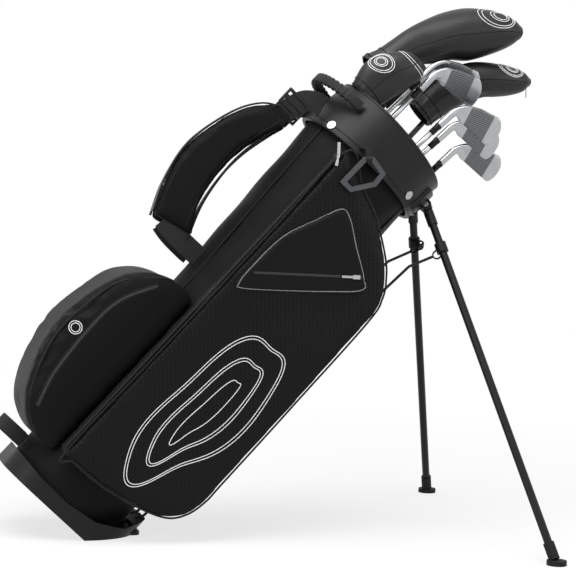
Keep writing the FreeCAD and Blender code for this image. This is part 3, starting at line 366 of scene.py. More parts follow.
COLLAR_FOOT, COLLAR_TALL = 800, 100
RIM_FRONT, RIM_SLANT = 875, math.radians(4.69)


def collar_skin(rise, turn, out=0.0):
    """Point of the collar's outer face: an ellipse that narrows and shifts evenly from foot to top."""
    part = (np.asarray(rise) - COLLAR_FOOT) / COLLAR_TALL
    return np.stack([-20 + 8 * part + (128 - 6 * part + out) * np.cos(turn),
                     (118 - 2 * part + out) * np.sin(turn), rise + 0 * turn], axis=-1)


def rim_rise(turn):
    """Height of the slanted rim where it crosses the collar's wall."""
    return RIM_FRONT + (110 - (-12 + 122 * np.cos(turn))) * math.tan(RIM_SLANT)


turn = np.linspace(0, 2 * np.pi, 160, endpoint=False)
trimmed("rim_roll", collar_skin(rim_rise(turn) - 0.6, turn, -2.6), ring_of(3.5, 12), glass_nylon,
        reference=(0, 0, 1), looped=True)
for label, rise_at, thick in (("foot", 801.5, 1.6), ("waist", 812, 0.9)):
    trimmed("collar_bead_" + label, collar_skin(np.full(160, rise_at), turn, 0.2), ring_of(thick, 8), binding,
            reference=(0, 0, 1), looped=True)

# soft-touch thermoplastic, ribbed across so that it doesn't slip in a wet hand
soft_touch = moulded("soft-touch thermoplastic", "111112", "1c1c1e", 0.5, 0.0018)
turn = np.linspace(0.53 * np.pi, 1.47 * np.pi, 900)
ribs = 0.9 * np.tanh(3 * np.sin(turn * 46)) * (np.abs(turn - np.pi) < 1.15)
hoop_line = np.stack([-100 + 79.5 * np.cos(turn), 89.5 * np.sin(turn), np.full(turn.size, 867.0)], axis=-1)
hoop = carried(hoop_line, flat_of(9, 17), (0, 0, 1))
swell = 1 + ribs[:, None, None] * 0.11
handle = surface("ribbed_lift_handle", stood(hoop_line[:, None] + (hoop - hoop_line[:, None]) * swell),
                 soft_touch, round_cols=True, capped=True)
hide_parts("lift_handle")


def metal(name, tone, pale, rough, spread, scratch):
    """Metal with a brushed or tumbled finish: long noise across the roughness and a slight bump."""
    made, tree, out = bare(name)
    place = node(tree, "ShaderNodeTexCoord").outputs["Object"]
    drawn_out = node(tree, "ShaderNodeMapping", {"Vector": place, "Rotation": (0, -LEAN, 0),
                                                 "Scale": (1.0, 1.0, 0.08)})
    grain = node(tree, "ShaderNodeTexNoise", {"Vector": drawn_out.outputs[0], "Scale": 1 / scratch,
                                              "Detail": 4.0})
    colour = node(tree, "ShaderNodeMix", {0: grain.outputs[0], 6: paint(tone), 7: paint(pale)},
                  data_type="RGBA")
    dull = node(tree, "ShaderNodeMapRange", {"Value": grain.outputs[0], 3: rough, 4: rough + spread})
    relief = node(tree, "ShaderNodeBump", {"Height": grain.outputs[0], "Strength": 0.08, "Distance": 0.0003})
    shader = node(tree, "ShaderNodeBsdfPrincipled", {
        "Base Color": colour.outputs[2], "Roughness": dull.outputs[0], "Normal": relief.outputs[0],
        "Metallic": 1.0})
    tree.links.new(shader.outputs[0], out.inputs["Surface"])
    return made


# nickel plate over brass, tumbled: warm pale silver with a soft gleam
nickel = metal("tumbled nickel plate", "9a9a98", "c4c4c2", 0.22, 0.2, 0.002)
finish_nodes(nickel, "snap_rivets", "ball_zip_slider", "pouch_zip_slider")


# ---------------------------------------------------------------- Side pockets
# Two long clothing pockets are sewn to the tube with a piped edge all round. Each is a boxed panel
# of ripstop cloth over a thin foam backing, and bulges a little with what is in it.
def puffed(name, source, voxel, cap, pressure, still, material, soften):
    """A soft CAD solid as a filled fabric form.

    A copy is merged and remeshed to small even faces, its corners are eased, and a cloth simulation
    blows it up; a point moves at most cap metres, times the share that still() gives for its place.
    """
    made = bpy.data.objects.new(name, nodes[source].data.copy())
    scene.collection.objects.link(made)
    shaper = bmesh.new()
    shaper.from_mesh(made.data)
    bmesh.ops.remove_doubles(shaper, verts=shaper.verts, dist=1e-5)
    shaper.to_mesh(made.data)
    shaper.free()

    def settle():
        """Writes what the modifiers give into the mesh, and takes them off."""
        evaluated = made.evaluated_get(bpy.context.evaluated_depsgraph_get())
        mesh = bpy.data.meshes.new_from_object(evaluated)
        made.modifiers.clear()
        made.data = mesh

    remesh = made.modifiers.new("remesh", "REMESH")
    remesh.mode = "VOXEL"
    remesh.voxel_size = voxel
    ease = made.modifiers.new("ease", "SMOOTH")
    ease.iterations = soften
    settle()
    rest = np.zeros(len(made.data.vertices) * 3)
    made.data.vertices.foreach_get("co", rest)
    rest = rest.reshape(-1, 3)
    cloth = made.modifiers.new("cloth", "CLOTH")
    cloth.settings.use_pressure = True
    cloth.settings.uniform_pressure_force = pressure
    cloth.settings.effector_weights.gravity = 0
    cloth.point_cache.frame_end = 20
    for step in range(1, 21):
        scene.frame_set(step)
    settle()
    blown = np.zeros(rest.size)
    made.data.vertices.foreach_get("co", blown)
    move = blown.reshape(-1, 3) - rest
    reach = np.linalg.norm(move, axis=1, keepdims=True)
    move *= np.minimum(1, cap / np.maximum(reach, 1e-9)) * still(rest)[:, None]
    made.data.vertices.foreach_set("co", (rest + move).ravel())
    scene.frame_set(1)
    made.data.materials.clear()
    made.data.materials.append(material)
    made.data.polygons.foreach_set("use_smooth", np.ones(len(made.data.polygons), bool))
    finer = made.modifiers.new("finer", "SUBSURF")
    finer.levels = finer.render_levels = 1
    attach(made, "bag")
    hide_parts(source)
    return made


def unstood(points):
    """Row metres back to bag millimetres."""
    return (np.asarray(points, float) - SEAT) @ TURN * 1000


def outer_share(points):
    """1 on the pocket's outer side, falling to 0 where it lies on the tube."""
    return np.clip((np.abs(unstood(points)[:, 1]) - 95) / 40, 0, 1)


# ripstop polyester with a fine grid of thicker threads, drawn at 5 mm so that it shows
ripstop = woven("ripstop polyester", "08080a", "171719", 0.005, 0.44, 0.35)
near_pocket = puffed("near_side_pocket_cloth", "near_side_pocket", 0.0055, 0.0025, 3.0, outer_share,
                     ripstop, soften=10)
far_pocket = puffed("far_side_pocket_cloth", "far_side_pocket", 0.0055, 0.0025, 3.0, outer_share,
                    ripstop, soften=10)

# the side pocket's outline, forward and up in bag millimetres
POCKET = [(-82, 86), (-83.5, 300), (-85, 600), (-84, 786), (-22, 762), (32, 742), (91, 706), (119, 681),
          (140, 650), (150, 600), (154, 400), (155, 230), (155, 186), (146, 149), (123, 121), (72, 101),
          (-2, 86), (-60, 84)]
edge = drawn(POCKET, 420, looped=True)
centre = np.array([36.0, 430.0])
for side, label in ((-1, "near"), (1, "far")):
    eased = edge - 1.5 * (edge - centre) / np.linalg.norm(edge - centre, axis=1, keepdims=True)
    line = np.stack([eased[:, 0], np.full(len(edge), side * 146.5), eased[:, 1]], axis=-1)
    trimmed("pocket_piping_" + label, line, ring_of(1.8, 10), binding, looped=True)


def laid(piece, run, lift, toward):
    """Drops each point of a bag-millimetre line onto a piece along a direction, and lifts it a little."""
    aim = Vector(stood(np.array(toward, float)) - stood([0, 0, 0])).normalized()
    found = []
    for point in stood(run):
        start = Vector(point) - aim * 0.05
        hit, place = piece.ray_cast(start, aim)[:2]
        found.append(np.array((place if hit else Vector(point)) - aim * lift / 1000))
    return unstood(np.array(found))


def pressed(name, tone, pale):
    """Heat-pressed film: an even colour broken by hairline cracks, standing a hair above the cloth."""
    made, tree, out = bare(name)
    place = node(tree, "ShaderNodeTexCoord").outputs["Object"]
    cracks = node(tree, "ShaderNodeTexNoise", {"Vector": place, "Scale": 300.0, "Detail": 3.0})
    colour = node(tree, "ShaderNodeMix", {0: cracks.outputs[0], 6: paint(tone), 7: paint(pale)},
                  data_type="RGBA")
    dull = node(tree, "ShaderNodeMapRange", {"Value": cracks.outputs[0], 3: 0.4, 4: 0.6})
    shader = node(tree, "ShaderNodeBsdfPrincipled", {"Base Color": colour.outputs[2],
                                                    "Roughness": dull.outputs[0]})
    tree.links.new(shader.outputs[0], out.inputs["Surface"])
    return made


# polyurethane transfer film, white for the prints and grey for the reflective line
film = pressed("heat-pressed white film", "c8c8c6", "f0f0ee")
grey_film = pressed("grey reflective film", "5c5d5f", "8a8b8d")

# pressed print: nested contour rings, each a pair of thin lines, generic and without meaning
bpy.context.view_layer.update()
for side, pocket, label in ((-1, near_pocket, "near"), (1, far_pocket, "far")):
    for index, (half_wide, half_long) in enumerate(((66, 168), (61, 163), (39, 124), (34, 119), (14, 78))):
        around = np.linspace(0, 2 * np.pi, 260, endpoint=False)
        wave = 1 + 0.07 * np.sin(3 * around + 0.7) + 0.05 * np.sin(5 * around + 2.1)
        shape = np.stack([46 + half_wide * wave * np.cos(around) + 0.10 * half_long * np.sin(around),
                          np.full(260, side * 150.0), 300 + half_long * wave * np.sin(around)], axis=-1)
        shape = laid(pocket, shape, 0.25, (0, -side, 0))
        trimmed(f"contour_print_{label}_{index}", shape, flat_of(1.4, 0.5, 3), film, looped=True)


def ribbed(name, tone, pale, pitch, relief, depth, rough, gloss):
    """Ribs across a strip: a sine along the UV map's length in metres, one wave to a pitch."""
    made, tree, out = bare(name)
    place = node(tree, "ShaderNodeUVMap", uv_map="UVMap").outputs[0]
    split = node(tree, "ShaderNodeSeparateXYZ", {0: place})
    beat = node(tree, "ShaderNodeMath", {0: split.outputs[0], 1: 2 * math.pi / pitch}, operation="MULTIPLY")
    waves = node(tree, "ShaderNodeMath", {0: beat.outputs[0]}, operation="SINE")
    height = node(tree, "ShaderNodeMapRange", {"Value": waves.outputs[0], 1: -1.0, 2: 1.0})
    colour = node(tree, "ShaderNodeMix", {0: height.outputs[0], 6: paint(tone), 7: paint(pale)},
                  data_type="RGBA")
    bump = node(tree, "ShaderNodeBump", {"Height": height.outputs[0], "Strength": relief, "Distance": depth})
    shader = node(tree, "ShaderNodeBsdfPrincipled", {
        "Base Color": colour.outputs[2], "Normal": bump.outputs[0], "Roughness": rough,
        "Specular IOR Level": gloss})
    tree.links.new(shader.outputs[0], out.inputs["Surface"])
    return made


# nylon coil zip: charcoal teeth every 4 mm, drawn coarse enough to show, between woven tapes
coil = ribbed("nylon coil zip", "09090a", "2e2f31", 0.004, 0.8, 0.001, 0.38, 0.4)
for side, label in ((-1, "near"), (1, "far")):
    run = np.linspace(0, 1, 200)[:, None]
    line = np.array([-85.0, side * 136.0, 97]) * (1 - run) + np.array([-87.6, side * 136.0, 779]) * run
    tape = trimmed("zip_tape_" + label, line, flat_of(13, 1.4)[:, ::-1], binding)
    trimmed("zip_coil_" + label, line - [1.2, 0, 0], flat_of(5, 2.2)[:, ::-1], coil)
    for edge_label, offset in (("out", -6.2), ("in", 6.2)):
        trimmed(f"zip_welt_{label}_{edge_label}", line + [-0.6, offset, 0], ring_of(1.3, 8), binding)
    if side < 0:
        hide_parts("zip_tapes")

# die-cast zinc slider with a bright plated pull that hangs by its own weight
bright_zinc = metal("bright plated zinc", "a8a8aa", "d6d6d8", 0.16, 0.14, 0.0015)
finish_nodes(bright_zinc, "main_zip_slider")
hang = TURN.T @ np.array([-0.18, 0, -0.98])
start = np.array([-91.0, -153.6, 768])
run = np.linspace(0, 18, 40)
pull_line = start + run[:, None] * hang
pull = carried(pull_line, flat_of(5.2, 1.6))
waist = 0.62 + 0.38 * np.clip(np.abs(run - 7) / 5, 0, 1)
tab = surface("main_zip_pull", stood(pull_line[:, None] + (pull - pull_line[:, None]) * waist[:, None, None]),
              bright_zinc, "main_slider", round_cols=True, capped=True)


# ---------------------------------------------------------------- Ball pocket
# A deep pocket for golf balls on the back, of the same coated cloth, with a curved zip on its near
# side and a small ring printed by it.
def off_tube(points):
    """0 where the pocket lies on the tube, rising to 1 away from it."""
    return np.clip((-unstood(points)[:, 0] - 125) / 40, 0, 1)


ball = puffed("ball_pocket_cloth", "ball_pocket", 0.0055, 0.006, 4.0, off_tube, nylon, soften=14)
bpy.context.view_layer.update()
ball_outline = drawn([(-127, 428), (-155, 418), (-205, 362), (-221, 290), (-223, 226), (-209, 170),
                      (-187, 122), (-162, 92), (-128, 74)], 200)
for side, label in ((-1, "near"), (1, "far")):
    line = np.stack([ball_outline[:, 0] + 3.2, np.full(200, side * 85.5), ball_outline[:, 1]], axis=-1)
    line[:, 2] -= 2.4 * (ball_outline[:, 1] - 230) / 200
    trimmed("ball_piping_" + label, line, ring_of(1.9, 10), binding)
    zip_run = drawn([(-150, 400), (-176, 352), (-186, 313), (-187, 270), (-184, 220), (-177, 165),
                     (-160, 112)], 160)
    line = laid(ball, np.stack([zip_run[:, 0], np.full(160, side * 90.0), zip_run[:, 1]], axis=-1), 0.3,
                (0, -side, 0))
    trimmed("ball_zip_tape_" + label, line, flat_of(11, 1.2), binding)
    trimmed("ball_zip_coil_" + label, line + [0, side * 0.7, 0], flat_of(4.5, 1.8), coil)
for index, radius in enumerate((11, 7.5)):
    around = np.linspace(0, 2 * np.pi, 72, endpoint=False)
    ring = np.stack([-205 + radius * np.cos(around), np.full(72, -90.0), 252 + radius * np.sin(around)],
                    axis=-1)
    trimmed(f"ball_pocket_ring_{index}", laid(ball, ring, 0.3, (0, 1, 0)), flat_of(1.4, 0.5, 3), film,
            looped=True)


# ---------------------------------------------------------------- Valuables pocket
# A flat pocket with a slanted zip is lined in fleece and sewn on the near side pocket; a thin
# reflective line is pressed round it.
def off_panel(points):
    """0 where the pocket lies on the side panel, rising to 1 over its outer 4 mm."""
    return np.clip((-unstood(points)[:, 1] - 152) / 4, 0, 1)


pouch = puffed("valuables_pocket_cloth", "valuables_pocket", 0.003, 0.0015, 3.0, off_panel, nylon, soften=5)
bpy.context.view_layer.update()
outline = drawn([(-24, 706), (-2, 705), (40, 678), (88, 649), (99, 632), (60, 592), (0, 538), (-56, 491),
                 (-66, 493), (-69, 526), (-65, 602), (-42, 664)], 260, looped=True)
shape = laid(pouch, np.stack([outline[:, 0], np.full(260, -158.0), outline[:, 1]], axis=-1), 0.2, (0, 1, 0))
trimmed("valuables_reflective_line", shape, flat_of(1.7, 0.5, 3), grey_film, looped=True)
run = np.linspace(0, 1, 90)[:, None]
zip_run = np.array([-60.0, -158.2, 523.5]) * (1 - run) + np.array([84.0, -158.2, 648]) * run
trimmed("valuables_zip_tape", zip_run, flat_of(10, 1.0), binding)
trimmed("valuables_zip_coil", zip_run + [0, -0.5, 0], flat_of(4.2, 1.6), coil)


# ---------------------------------------------------------------- Shoulder straps
# Two foam-filled straps, air mesh inside and coated cloth outside, are bound along both edges and
# hang on webbing run through moulded ladder buckles.
PAD_OUTER = [(-239, 485), (-263, 539), (-277, 600), (-274, 652), (-256, 718), (-231, 759), (-201, 780)]
PAD_INNER = [(-162, 499), (-185, 561), (-195, 627), (-193, 682), (-180, 743), (-174, 771)]
# tightly woven nylon webbing, ribbed across every 3 mm
webbing = ribbed("ribbed nylon webbing", "0a0a0b", "1d1d1f", 0.003, 0.5, 0.0006, 0.5, 0.3)
# acetal, moulded with a polished face: crisp mid grey
acetal = moulded("moulded grey acetal", "151516", "202022", 0.34, 0.0015)
finish_nodes(acetal, "strap_buckles")


def all_over(points):
    """1 at every point: the whole pad may swell."""
    return np.ones(len(points))


for side, label, shift in ((-1, "near", 0), (1, "far", 16)):
    middle = 43.0 * side
    pad = puffed("strap_pad_cloth_" + label, "strap_pad_" + label, 0.004, 0.006, 5.0,
                 all_over, nylon, soften=6)
    bpy.context.view_layer.update()
    for rim_label, run, pull_in in (("outer", PAD_OUTER, 0.975), ("inner", PAD_INNER, 1.02)):
        line = drawn(run, 120)
        core = np.array([-205.0, 630.0])
        line = core + (line - core) * pull_in
        line = np.stack([line[:, 0] + shift, np.full(120, middle), line[:, 1]], axis=-1)
        trimmed(f"strap_binding_{label}_{rim_label}", line, flat_of(3.2, 11), binding)
    outer, inner = drawn(PAD_OUTER, 120), drawn(PAD_INNER, 120)
    for index, share in enumerate((0.16, 0.84)):
        line = outer * (1 - share) + inner * share
        line = np.stack([line[4:-4, 0] + shift, np.full(112, middle + side * 30), line[4:-4, 1]], axis=-1)
        trimmed(f"strap_stitch_{label}_{index}", laid(pad, line, 0.1, (0, -side, 0)), ring_of(0.8, 6), binding)
    for run_label, run in (("low", [(-214, 492), (-190, 488), (-160, 487), (-122, 488)]),
                           ("high", [(-189, 770), (-187, 790), (-178, 812), (-160, 826), (-146, 829)])):
        line = drawn(run, 60)
        line = np.stack([line[:, 0] + shift, np.full(60, middle), line[:, 1]], axis=-1)
        line[-12:, 0] -= shift * np.linspace(0, 1, 12)
        strip = trimmed(f"strap_webbing_{label}_{run_label}", line, flat_of(37, 2.3), webbing)
        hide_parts("strap_webbing")
patch_line = np.stack([np.linspace(-196, -192, 30), np.full(30, -51.8), np.linspace(772, 748, 30)], axis=-1)
trimmed("strap_end_patch", patch_line, flat_of(34, 1.4), ripstop)


# ---------------------------------------------------------------- Loops and towel ring
# A webbing loop is sewn over the back of the base for lifting the foot end; the towel ring is an
# angular grey moulding that hangs on a webbing tab.
finish_nodes(webbing, "ring_tab")
loop_line = drawn([(-121, 15), (-148, 16), (-168, 12), (-176, 0), (-168, -12), (-148, -16), (-121, -15)],
                  120)
loop_line = np.stack([loop_line[:, 0], loop_line[:, 1], np.full(120, 52.0)], axis=-1)
grab = trimmed("grab_loop_webbing", loop_line, flat_of(2.3, 26), webbing, reference=(0, 0, 1))
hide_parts("grab_loop")
# glass-filled nylon dyed grey in the melt: even, cool and satin
dyed_nylon = moulded("dyed glass-filled nylon", "38393b", "505254", 0.38, 0.0018)
finish_nodes(dyed_nylon, "towel_ring")


# ---------------------------------------------------------------- Stand: legs, rocker pin and push rods
# Each leg is a black anodised aluminium tube in moulded ends, and the push rods are spring steel
# wire, blackened, that run from the rocker to a slotted eye on each leg.
def coated_metal(name, tone, pale, rough):
    """Black anodised tube: a dark metal whose colour and gloss drift slowly, with faint drawing lines."""
    made, tree, out = bare(name)
    place = node(tree, "ShaderNodeTexCoord").outputs["Object"]
    drift = node(tree, "ShaderNodeTexNoise", {"Vector": place, "Scale": 22.0, "Detail": 5.0})
    colour = node(tree, "ShaderNodeMix", {0: drift.outputs[0], 6: paint(tone), 7: paint(pale)},
                  data_type="RGBA")
    dull = node(tree, "ShaderNodeMapRange", {"Value": drift.outputs[0], 3: rough, 4: rough + 0.14})
    fine = node(tree, "ShaderNodeTexNoise", {"Vector": place, "Scale": 900.0})
    bump = node(tree, "ShaderNodeBump", {"Height": fine.outputs[0], "Strength": 0.06, "Distance": 0.0003})
    shader = node(tree, "ShaderNodeBsdfPrincipled", {
        "Base Color": colour.outputs[2], "Roughness": dull.outputs[0], "Normal": bump.outputs[0],
        "Metallic": 0.4, "Specular IOR Level": 0.35})
    tree.links.new(shader.outputs[0], out.inputs["Surface"])
    return made


anodised = coated_metal("black anodised aluminium", "0c0c0d", "18181a", 0.32)
blackened = coated_metal("blackened spring steel wire", "101011", "1c1c1e", 0.38)
# turned stainless pins with a bright machined end
stainless = metal("turned stainless steel", "8c8d8f", "b8b9bb", 0.25, 0.15, 0.001)
# vulcanised rubber: dead black with a slight bloom
rubber = moulded("vulcanised rubber", "0f0f0f", "1c1c1c", 0.72, 0.002)
finish_nodes(anodised, "near_leg_tube", "far_leg_tube")
finish_nodes(polypropylene, "near_leg_knuckle", "far_leg_knuckle", "near_rod_clamp", "far_rod_clamp")
finish_nodes(rubber, "near_leg_foot", "far_leg_foot")
finish_nodes(blackened, "near_rod", "far_rod")
finish_nodes(stainless, "leg_pins", "rocker_pin")
# pultruded glass fibre, pale green-white with fibres along it
stay_fibre = moulded("pultruded glass fibre", "b9bdb0", "d6d9cc", 0.4, 0.001)
finish_nodes(stay_fibre, "inner_stays")


# ---------------------------------------------------------------- Irons
# Five cast stainless irons, chromed and brushed: a hosel bends into a blade whose face is milled
# with grooves between a bright heel and a bright toe. Stepped steel shafts end in a black plastic
# ferrule, and rubber grips stand in the bag.
CLUB_RISE = 890
# name; where the shaft crosses CLUB_RISE, forward and across; its tilt; height of its tip; loft
IRONS = (("iron_4", -49, -4, 2.0, 992, 22), ("iron_5", -41, -31, 1.2, 977, 25),
         ("iron_6", 18, -67, 4.5, 951, 28), ("iron_7", 41, -41, 4.5, 937, 31),
         ("iron_9", 87, 6, 4.5, 921, 36))


def clubbed(points, out, across, tilt, floor):
    """Club millimetres to row metres: turned by the club's own tilt, set on its line through the rim."""
    lean = math.radians(tilt)
    upward = np.array([math.sin(lean), 0, math.cos(lean)])
    butt = floor + 0.3 + 12.6 * math.sin(abs(lean))
    base = np.array([out, across, CLUB_RISE]) - upward * ((CLUB_RISE - butt) / upward[2])
    turn = np.array([[math.cos(lean), 0, math.sin(lean)], [0, 1, 0], [-math.sin(lean), 0, math.cos(lean)]])
    return stood(np.asarray(points, float) @ turn.T + base), base[2]


def turned(profile, count=28):
    """Solid of revolution about the club's axis: each (radius, height) swept round a circle."""
    profile = np.asarray(profile, float)
    turn = np.linspace(0, 2 * np.pi, count, endpoint=False)
    return np.stack([profile[:, :1] * np.cos(turn), profile[:, :1] * np.sin(turn),
                     np.broadcast_to(profile[:, 1:], (len(profile), count))], axis=-1)


# chromed steel, polished, with a painted reflection: its colour runs between a pale and a dark grey with the
# angle at which a face is seen, standing in for the surroundings it would reflect
chrome, tree, out = bare("polished chrome plate")
place = node(tree, "ShaderNodeTexCoord").outputs["Object"]
facing = node(tree, "ShaderNodeLayerWeight", {"Blend": 0.35})
haze = node(tree, "ShaderNodeTexNoise", {"Vector": place, "Scale": 60.0, "Detail": 4.0})
# painted reflection: the angle to the camera mixes a pale and a dark grey into the colour
painted_reflection = node(tree, "ShaderNodeMapRange", {"Value": facing.outputs["Facing"], 1: 0.05, 2: 0.75})
colour = node(tree, "ShaderNodeMix", {0: painted_reflection.outputs[0], 6: paint("a6a8aa"), 7: paint("4c4d50")},
              data_type="RGBA")
dull = node(tree, "ShaderNodeMapRange", {"Value": haze.outputs[0], 3: 0.12, 4: 0.3})
shader = node(tree, "ShaderNodeBsdfPrincipled", {"Base Color": colour.outputs[2], "Metallic": 1.0,
                                                "Roughness": dull.outputs[0]})
tree.links.new(shader.outputs[0], out.inputs["Surface"])

# cast 431 stainless, brushed and milled: the attribute "blade" holds how far along the face and
# down it a point is in metres, and 1 on the striking side
milled, tree, out = bare("milled stainless blade")
where = node(tree, "ShaderNodeAttribute", attribute_name="blade").outputs["Vector"]
split = node(tree, "ShaderNodeSeparateXYZ", {0: where})
heel = node(tree, "ShaderNodeMapRange", {"Value": split.outputs[0], 1: 0.0195, 2: 0.0205})
toe = node(tree, "ShaderNodeMapRange", {"Value": split.outputs[0], 1: 0.0645, 2: 0.0655, 3: 1.0, 4: 0.0})
field = node(tree, "ShaderNodeMath", {0: heel.outputs[0], 1: toe.outputs[0]}, operation="MULTIPLY")
scored = node(tree, "ShaderNodeMath", {0: field.outputs[0], 1: split.outputs[2]}, operation="MULTIPLY")
turns = node(tree, "ShaderNodeMath", {0: split.outputs[1], 1: 2 * math.pi / 0.0036}, operation="MULTIPLY")
wave = node(tree, "ShaderNodeMath", {0: turns.outputs[0]}, operation="SINE")
groove = node(tree, "ShaderNodeMapRange", {"Value": wave.outputs[0], 1: 0.2, 2: 0.8})
cut = node(tree, "ShaderNodeMath", {0: groove.outputs[0], 1: scored.outputs[0]}, operation="MULTIPLY")
streak = node(tree, "ShaderNodeMapping", {"Vector": where, "Scale": (1.0, 0.06, 1.0)})
grain = node(tree, "ShaderNodeTexNoise", {"Vector": streak.outputs[0], "Scale": 900.0, "Detail": 3.0})
plain = node(tree, "ShaderNodeMix", {0: grain.outputs[0], 6: paint("929496"), 7: paint("c6c8ca")},
             data_type="RGBA")
matt = node(tree, "ShaderNodeMix", {0: grain.outputs[0], 6: paint("66686a"), 7: paint("868889")},
            data_type="RGBA")
face = node(tree, "ShaderNodeMix", {0: scored.outputs[0], 6: plain.outputs[2], 7: matt.outputs[2]},
            data_type="RGBA")
colour = node(tree, "ShaderNodeMix", {0: cut.outputs[0], 6: face.outputs[2], 7: paint("4a4b4d")},
              data_type="RGBA")
dull = node(tree, "ShaderNodeMapRange", {"Value": scored.outputs[0], 3: 0.24, 4: 0.42})
depth = node(tree, "ShaderNodeMath", {0: 1.0, 1: cut.outputs[0]}, operation="SUBTRACT")
bump = node(tree, "ShaderNodeBump", {"Height": depth.outputs[0], "Strength": 0.6, "Distance": 0.0004})
shader = node(tree, "ShaderNodeBsdfPrincipled", {"Base Color": colour.outputs[2], "Metallic": 1.0,
                                                "Roughness": dull.outputs[0], "Normal": bump.outputs[0]})
tree.links.new(shader.outputs[0], out.inputs["Surface"])
# injection-moulded ferrule, polished on the shaft with acetone: glossy black
ferrule_black = moulded("acetone-polished cellulose ferrule", "08080a", "111113", 0.2, 0.003, 0.1)
# moulded grip rubber with a cross-hatched tread every 4 mm
grip_rubber = woven("moulded grip rubber", "121213", "202022", 0.004, 0.65, 0.9, 0.05)

LIE = math.radians(61)
FACE_OUT = np.array([math.sin(LIE), 0, math.cos(LIE)])
FACE_DOWN = np.array([math.cos(LIE), 0, -math.sin(LIE)])


def bridged(first, leave, last, arrive, along):
    """Cubic from one ring to another: Hermite form, from the points and the directions at both ends."""
    return ((2 * along ** 3 - 3 * along ** 2 + 1) * first + (along ** 3 - 2 * along ** 2 + along) * leave
            + (3 * along ** 2 - 2 * along ** 3) * last + (along ** 3 - along ** 2) * arrive)


def iron_rings(start, loft):
    """Rings of the head in club millimetres, with face coordinates for each point.

    Along the hosel they are circles. Along the blade each ring runs from the leading edge to the
    topline, flat in front and tapering behind, in a plane square to the blade. Between the last
    circle and the first blade ring every point follows a cubic that leaves up the hosel and arrives
    along the blade.
    """
    turn = np.linspace(0, 2 * np.pi, 72, endpoint=False)
    bend = start + 46
    tipped = math.radians(loft)
    down = FACE_DOWN * math.cos(tipped) + np.array([0, 1, 0]) * math.sin(tipped)
    back = np.cross(FACE_OUT, down)
    back = back if back[1] > 0 else -back
    corner = np.array([-4.0, 0, bend + 10])
    hinge = corner + FACE_DOWN * 16.5
    rises = np.array([0, 0.6, 3, 12, 22, 30]) + start
    radii = np.array([5.6, 6.5, 6.7, 6.7, 6.7, 6.8])
    hosel = np.stack([-radii[:, None] * np.cos(turn), radii[:, None] * np.sin(turn),
                      np.broadcast_to(rises[:, None], (6, 72))], axis=-1)
    run = np.concatenate([np.linspace(17, 74, 40), 74 + 13 * np.sin(np.linspace(0.06, 1.545, 22))])
    lead = np.interp(run, [0, 40, 77, 88], [0.5, -3.2, 1.0, 6])
    top = 33 + (run - 16) * 0.403
    round_off = np.sqrt(np.clip(1 - ((run - 72) / 15.4).clip(0, 1) ** 2.4, 0.0, 1))
    middle = (lead + top) / 2 * round_off + (1 - round_off) * 27
    half = (top - lead) / 2 * round_off
    low = middle - half
    share = (1 - np.sign(np.cos(turn)) * np.abs(np.cos(turn)) ** 0.85) / 2
    across = low[:, None] + 2 * half[:, None] * share
    thick = 2.6 + 9.5 * (1 - share) ** 2.2
    thick = thick[None] * np.clip(round_off[:, None] * 1.5, 0.2, 1)
    side = np.sin(turn)
    deep = np.where(side < 0, -3.4 * np.abs(side) ** 0.3, thick * np.abs(side) ** 0.55)
    blade = (hinge + FACE_OUT * run[:, None, None] + down * (across - 16.5)[..., None]
             + back * deep[..., None])
    joint = bridged(hosel[-1], np.array([0, 0, 30.0]), blade[0], FACE_OUT * 30,
                    np.linspace(0, 1, 26)[1:-1, None, None])
    rings = np.concatenate([hosel, joint, blade])
    local = rings - hinge
    front = np.broadcast_to((side < -0.02), rings.shape[:2]) * (np.arange(len(rings)) > 20)[:, None]
    facing = np.stack([local @ FACE_OUT / 1000, local @ down / 1000 + 0.0165, front], axis=-1)
    return rings, facing


def shafted(name, place, start, tip, material, steps):
    """Shaft, ferrule and grip of one club, all turned about its axis and riding with it."""
    body = name + "_club"
    levels = [(7.0, 12), (7.0, 262), (tip + 1.6, 330)]
    if steps:
        for step in range(9):
            height = 400 + 42 * step
            radius = tip + 1.4 - 1.2 * step / 9
            levels += [(radius, height), (radius - 0.16, height + 2)]
    levels += [(tip + 0.1, min(start - 40, 830)), (tip, start + 3)]
    levels = [point for point in levels if point[1] <= start + 3]
    shaft = surface(name + "_shaft_tube", clubbed(turned(levels), *place)[0], material, body,
                    round_cols=True, capped=True)
    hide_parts(name + "_shaft")
    cone = [(tip + 0.3, start - 20), (tip + 1.2, start - 19), (6.0, start - 6), (6.75, start - 1.5),
            (6.75, start - 0.2), (4, start)]
    ferrule = surface(name + "_ferrule", clubbed(turned(cone), *place)[0], ferrule_black, body,
                      round_cols=True, capped=True)
    swell = [(8.0, 0.2), (11.4, 1.2), (12.6, 6), (12.4, 30), (11.6, 120), (10.2, 220), (9.4, 262), (8.2, 268)]
    grip = surface(name + "_grip", clubbed(turned(swell, 36), *place)[0], grip_rubber, body,
                   round_cols=True, capped=True)
    return shaft, ferrule, grip


for name, out_at, across_at, tilt, reach, loft in IRONS:
    place = (out_at, across_at, tilt, 69)
    butt = clubbed([0, 0, 0], *place)[1]
    start = reach - butt
    rings, facing = iron_rings(start, loft)
    head = surface(name + "_blade", clubbed(rings, *place)[0], milled, name + "_club", round_cols=True,
                   capped=True)
    mark = head.data.attributes.new("blade", "FLOAT_VECTOR", "POINT")
    mark.data.foreach_set("vector", facing.astype(np.float32).ravel())
    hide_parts(name + "_head")
    for piece in shafted(name, place, start, 4.7, chrome, True):
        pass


# ---------------------------------------------------------------- Woods, hybrid and putter
# Four covered clubs on lacquered graphite shafts. The covers are soft synthetic leather over a
# pile lining, sewn from panels with a piped neck; the heads inside are cast and painted.

